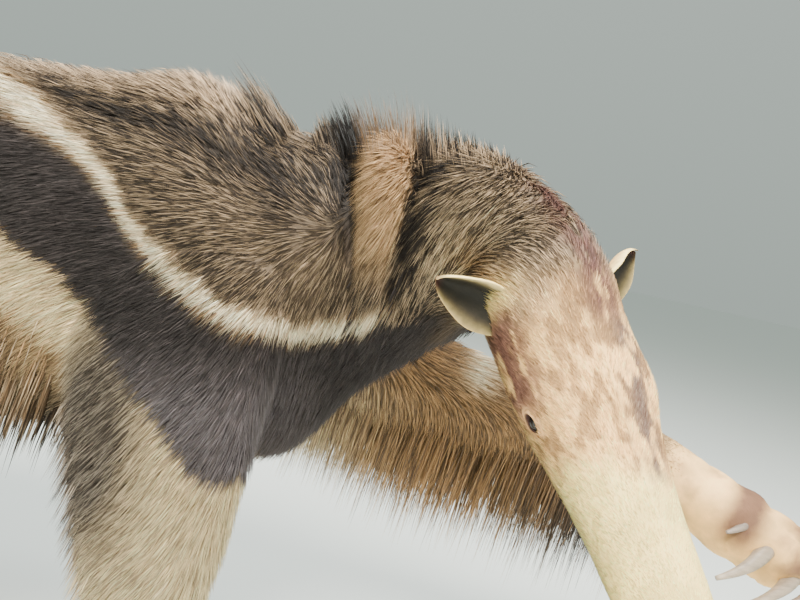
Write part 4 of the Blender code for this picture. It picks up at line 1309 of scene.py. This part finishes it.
def growFlanks():
    for name, way, count, first in (("right", -1, 1500, 3.8), ("left", 1, 1100, 4.4)):
        u = draw.uniform(first, 6.1, count)
        angle = (np.pi + 0.70 if way < 0 else -0.70) + draw.normal(0, 0.20, count)
        length = (0.050 + 0.036 * (6.1 - u)) * draw.uniform(0.6, 1.0, count)
        growLong(f"coat_flank_{name}", spine, u, angle, length, vec(-0.30, 0.22 * way, -1), (0, 0, -1),
                 0.0022, 0.07, paintBy=flankColours)


def chestColours(root, _):
    n = len(root)
    return np.tile(paint["charcoal"] * 0.8, (n, 1)), np.tile(paint["charcoal"] * 1.8, (n, 1)), np.full(n, 0.3)


def growChest():
    n = 2200
    u = draw.uniform(7.9, 10.9, n)
    angle = -topAngle + draw.normal(0, 0.65, n)
    length = 0.036 * draw.uniform(0.5, 1.0, n) * bell(u, 9.4, 1.3)
    growLong("coat_chest", spine, u, angle, length, vec(-0.45, 0, -1), (0, 0, -1), 0.0018, 0.05,
             paintBy=chestColours, rings=3)


def crestColours(root, place):
    dark, pale, share = markings(root, place)
    mid = bell(place["u"], 9.75, 0.42)
    return dark * 0.8, blend(pale, paint["bristle"], mid[:, None]), share * (1 - 0.4 * mid)


def growCrest():
    n = 2600
    u = draw.uniform(8.85, 11.3, n)
    angle = topAngle + draw.normal(0, 0.30, n)
    lie = np.stack([0.8 * (u - 9.8) * bell(u, 9.8, 0.6) - 0.15, 0 * u, 1 + 0 * u], 1)
    length = (0.022 + 0.056 * bell(u, 9.80, 0.80)) * bell(angle, topAngle, 0.7)
    length = length * draw.uniform(0.55, 1.0, n)
    growLong("coat_crest", spine, u, angle, length, lie, (-0.3, 0, 0.1), 0.0012, 0.10, paintBy=crestColours)


def growForeleg():
    n = 1100
    u = draw.uniform(1.5, 5.2, n)
    angle = -topAngle + draw.normal(0, 0.45, n)
    growLong("coat_foreleg", standing, u, angle, 0.062 - 0.006 * u, vec(-0.55, 0, -1), (0, 0, -1), 0.0026,
             0.06)


# the fringe below the raised foreleg, in clumps that lean to and fro
def growArm():
    n = 7200
    u = draw.uniform(1.2, 5.2, n)
    angle = -topAngle + draw.normal(0, 0.55, n)
    clump = 0.5 + 0.5 * np.sin(u * 21 + 2 * np.sin(u * 47 + angle * 3))
    lean = np.sin(u * 33 + 3 * np.sin(u * 13) + angle * 5) * 0.14
    lie = vec(-0.25, 0, -1) + lean[:, None] * vec(1, 0, 0)
    length = 0.128 - 0.010 * np.abs(u - 3.2) + 0.022 * step(3.5, 4.3, u)
    length = length * step(5.7, 5.0, u) * (0.84 + 0.16 * clump) * draw.uniform(0.35, 1.0, n)
    growLong("coat_arm", reaching, u, angle, length, lie, (0, 0, -1), 0.0014, 0.05, rings=3)


def growHindlegs():
    n = 1500
    for name, number, way in (("right", hindRight, -1), ("left", hindLeft, 1)):
        u = draw.uniform(1.6, 4.4, n)
        angle = (0.0 if way > 0 else np.pi) - 0.75 * way + draw.normal(0, 0.50, n)
        length = 0.108 * step(5.4, 3.4, u) + 0.02
        growLong(f"coat_hindleg_{name}", number, u, angle, length, vec(-0.35, 0.05 * way, -1), (0, 0, -1),
                 0.0036, 0.05)


def growTail():
    n = 5600
    u = 1.1 + 6.7 * draw.random(n) ** 0.9
    angle = draw.uniform(-np.pi, np.pi, n)
    low = 0.5 - 0.5 * np.sin(angle)
    length = 0.13 + 0.15 * low
    lie = np.stack([-1 + 0.35 * low, -0.30 * np.cos(angle), 0.10 - 0.95 * low], 1)
    growLong("coat_tail", tail, u, angle, length, lie, (-0.57, 0, -0.82), 0.0046, 0.05)


growMane()
growWithers()
growFlanks()
growChest()
growCrest()
growForeleg()
growArm()
growHindlegs()
growTail()


# Eyes: balls of latitude and longitude, r (sin a cos b, sin a sin b, cos a)
def buildEyes():
    made, _, shader = newMaterial("eye", 0.16, (0.010, 0.007, 0.005), 0.4)
    shader.inputs["Coat Weight"].default_value = 0.15
    a = np.linspace(0.04, np.pi - 0.04, 25)[:, None, None]
    b = circle(40)[None, :, None]
    for name, way in (("eye_left", 1), ("eye_right", -1)):
        at, longWay, high, outward = eyePlace(way)
        rings = at + eyes["radius"] * (np.sin(a) * np.cos(b) * longWay + np.sin(a) * np.sin(b) * high
                                       + np.cos(a) * outward)
        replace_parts(newPiece(f"ball_{name}", tubeMesh(name, rings), made), name)


buildEyes()
print("eyes set")

# Ears: p = c(s) + b w(s) cos q - o d(s) sin^2 q + o h sign(sin q) |sin q|^0.5, s up the ear, q round its edge
ears = {"fromNose": 0.345, "rise": 0.20, "long": 0.043, "wide": 0.0225, "cup": 0.0135, "thick": 0.0015,
        "sunk": 0.012}


# an ear's root, the way up it, the way across it and the way that it opens
def earFrame(way):
    root = loftPoint(lofts[spine], *headPlace(ears["fromNose"], ears["rise"], way))[0]
    axis = unit(headLeft * (0.84 * way) - headForward * 0.50 + headCrown * 0.14)
    opens = headForward * 0.75 + headCrown * 0.50 + headLeft * (0.35 * way)
    opens = unit(opens - axis * (opens @ axis))
    return root, axis, np.cross(axis, opens), opens


def earRings(way, s, q):
    root, axis, across, opens = earFrame(way)
    wide = ears["wide"] * (1 - s ** 2.1) ** 0.75 * (1 - 0.25 * (1 - s) ** 3) + 0.0012
    cup = ears["cup"] * np.sin(np.pi * (0.10 + 0.80 * s)) ** 0.8
    wave = 0.0011 * np.sin(9 * s + 2 * np.cos(q)) * np.cos(q) ** 2
    centre = (root - axis * ears["sunk"] + axis * ((ears["long"] + ears["sunk"]) * s)
              - opens * (0.010 * s ** 2))
    high = np.clip(np.cos(q) * np.sign(across[2]), 0, 1) ** 2
    edge = np.sign(np.sin(q)) * np.abs(np.sin(q)) ** 0.5 * ears["thick"] * (1 + 1.2 * high)
    return centre + across * (wide * np.cos(q)) + opens * (edge + wave - cup * np.sin(q) ** 2)


# a value for each point of a closed tube: one for each place on its rings, and 0 for its two ends
def overTube(value, shape):
    return np.append(np.broadcast_to(value, shape).reshape(-1), [0, 0])[:, None]


# an ear's colours: face outside, a hollow inside in painted shade, paler above as painted light, a cream rim,
# a purple tip
def earColours(way, s, q, shape):
    upper = overTube(np.cos(q) * np.sign(earFrame(way)[2][2]), shape)
    shadedInside = overTube((np.sin(q) > 0.15) * 1.0, shape)
    # the cream rim, brighter above as a painted highlight
    rim = overTube(np.abs(np.cos(q)) ** 6, shape) * (0.35 + 0.65 * step(-0.4, 0.6, upper))
    tipShade = overTube(step(0.86, 1.0, s), shape)
    # painted shade: the cup's inside dark, paler above as painted light
    hollow = vec(0.012, 0.010, 0.006) + paint["cream"] * 0.5 * step(0.55, 1.0, upper)
    colour = blend(paint["face"] * 0.85, hollow, shadedInside)
    colour = blend(colour, paint["muzzle"] * 1.1, rim)
    return blend(colour, paint["mauve"] * 0.5, 0.75 * tipShade)


def buildEars():
    made, tree, shader = newMaterial("ear", 0.62, gloss=0.25)
    tinted(tree, shader, "coatColour", noiseOf(tree, 160.0, 5.0), 0.75, 1.2)
    bumped(tree, shader, noiseOf(tree, 420.0, 4.0), 0.4, 0.0008)
    s = np.linspace(0, 1, 40)[:, None, None]
    q = circle(56)[None, :, None]
    for name, way in (("ear_left", 1), ("ear_right", -1)):
        rings = earRings(way, s, q)
        mesh = tubeMesh(name, rings)
        setColour(mesh, "coatColour", earColours(way, s, q, rings[..., :1].shape))
        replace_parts(newPiece(f"shell_{name}", mesh, made), name)


buildEars()
print("ears set")


# Claws: a bent horn, base (1-t)^2 + middle 2t(1-t) + tip t^2, its radius falling as 1 - 0.8 t^1.35
def hornRings(at, out, bend, length, thick, t, corners):
    out, bend = unit(out), unit(bend)
    base = at - out * 0.004
    middle = base + out * (length * 0.55)
    tip = base + out * (length * 0.62) + bend * (length * 0.62)
    spot = base * (1 - t) ** 2 + middle * (2 * t * (1 - t)) + tip * t ** 2
    along = unit((middle - base) * (1 - t) + (tip - middle) * t)
    across = unit(np.cross(bend, along))
    deep = np.cross(along, across)
    size = (thick * 1.12 * (1 - 0.80 * t ** 1.35) * (0.82 + 0.18 * step(0.0, 0.12, t)))[:, None]
    q = circle(corners)[None, :, None]
    narrow = 1 - 0.25 * np.clip(np.sin(q), 0, 1)
    return (spot[:, None] + across[:, None] * (0.80 * size * np.cos(q) * narrow)
            + deep[:, None] * (1.12 * size * np.sin(q)))


def buildClaws():
    made, tree, shader = newMaterial("claw", 0.38, gloss=0.5)
    tinted(tree, shader, "clawColour", noiseOf(tree, 1.0, 4.0, (60.0, 260.0, 260.0)), 0.70, 1.15)
    bumped(tree, shader, noiseOf(tree, 260.0, 4.0), 0.25, 0.0006)
    t, corners = np.linspace(0, 0.985, 30)[:, None], 20
    shade = np.append(np.repeat(t[:, 0], corners), [0, 1])[:, None]
    for name, at, out, bend, length, thick in clawPlan:
        mesh = tubeMesh(name, hornRings(at, out, bend, length, thick, t, corners))
        light = vec(0.36, 0.29, 0.21) if length > 0.05 else vec(0.24, 0.19, 0.15)
        setColour(mesh, "clawColour", light * (0.62 + 0.50 * shade))
        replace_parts(newPiece(f"horn_{name}", mesh, made), name)


buildClaws()
print("claws set")


# Floor, lights and camera
def buildStage():
    t = circle(96)
    rim = np.stack([np.cos(t) * 30, np.sin(t) * 30, 0 * t], 1)
    mesh = bpy.data.meshes.new("floor")
    mesh.from_pydata([tuple(p) for p in rim.tolist()], [], [tuple(range(len(t)))])
    floor = addObject("floor", mesh)
    mesh.materials.append(newMaterial("floor", 0.9, (0.72, 0.76, 0.725), 0.2)[0])


def buildWorld():
    world = bpy.data.worlds.new("studio")
    bpy.context.scene.world = world
    world.use_nodes = True
    tree = world.node_tree
    place = addNode(tree, "ShaderNodeTexCoord")
    parts = addNode(tree, "ShaderNodeSeparateXYZ")
    ramp = addNode(tree, "ShaderNodeValToRGB")
    low, high = ramp.color_ramp.elements
    low.position, low.color = 0.50, (0.415, 0.480, 0.440, 1)
    high.position, high.color = 0.85, (0.56, 0.625, 0.585, 1)
    half = addNode(tree, "ShaderNodeMath", operation="MULTIPLY_ADD")
    half.inputs[1].default_value = 0.5
    half.inputs[2].default_value = 0.5
    tree.links.new(place.outputs["Generated"], parts.inputs[0])
    tree.links.new(parts.outputs["Z"], half.inputs[0])
    tree.links.new(half.outputs[0], ramp.inputs[0])
    tree.links.new(ramp.outputs["Color"], tree.nodes["Background"].inputs["Color"])
    tree.nodes["Background"].inputs["Strength"].default_value = 1.05


def turned(x, y, z, at):
    grid = np.eye(4)
    grid[:3, :3] = np.stack([x, y, z], 1)
    grid[:3, 3] = at
    return Matrix(grid.tolist())


def softbox(name, at, aim, size, power, colour):
    light = bpy.data.lights.new(name, "AREA")
    light.shape = "DISK"
    light.size = size
    light.energy = power
    light.color = colour
    back = unit(vec(*at) - vec(*aim))
    left = unit(np.cross(vec(0, 0, 1), back))
    addObject(name, light).matrix_world = turned(left, np.cross(back, left), back, vec(*at))


def buildCamera():
    p, r = math.radians(camera["down"]), math.radians(camera["roll"])
    look = vec(0, math.cos(p), -math.sin(p))
    right0 = vec(1, 0, 0)
    up0 = np.cross(right0, look)
    right = right0 * math.cos(r) + up0 * math.sin(r)
    up = np.cross(right, look)
    data = bpy.data.cameras.new("camera")
    data.lens, data.sensor_width, data.clip_start = camera["lens"], 36.0, 0.01
    made = addObject("camera", data)
    made.matrix_world = turned(right, up, -look, camera["at"] - body["middle"])
    bpy.context.scene.camera = made


buildStage()
buildWorld()
softbox("key", (0.3, -1.8, 2.5), (0.4, 0, 0.35), 1.3, 240, (1.0, 0.94, 0.85))
softbox("top", (0.2, 0.5, 2.6), (0.2, 0, 0.3), 1.8, 95, (0.97, 0.99, 1.0))
softbox("fill", (2.4, -0.6, 1.3), (0.4, 0, 0.3), 1.8, 26, (1.0, 0.98, 0.95))
buildCamera()
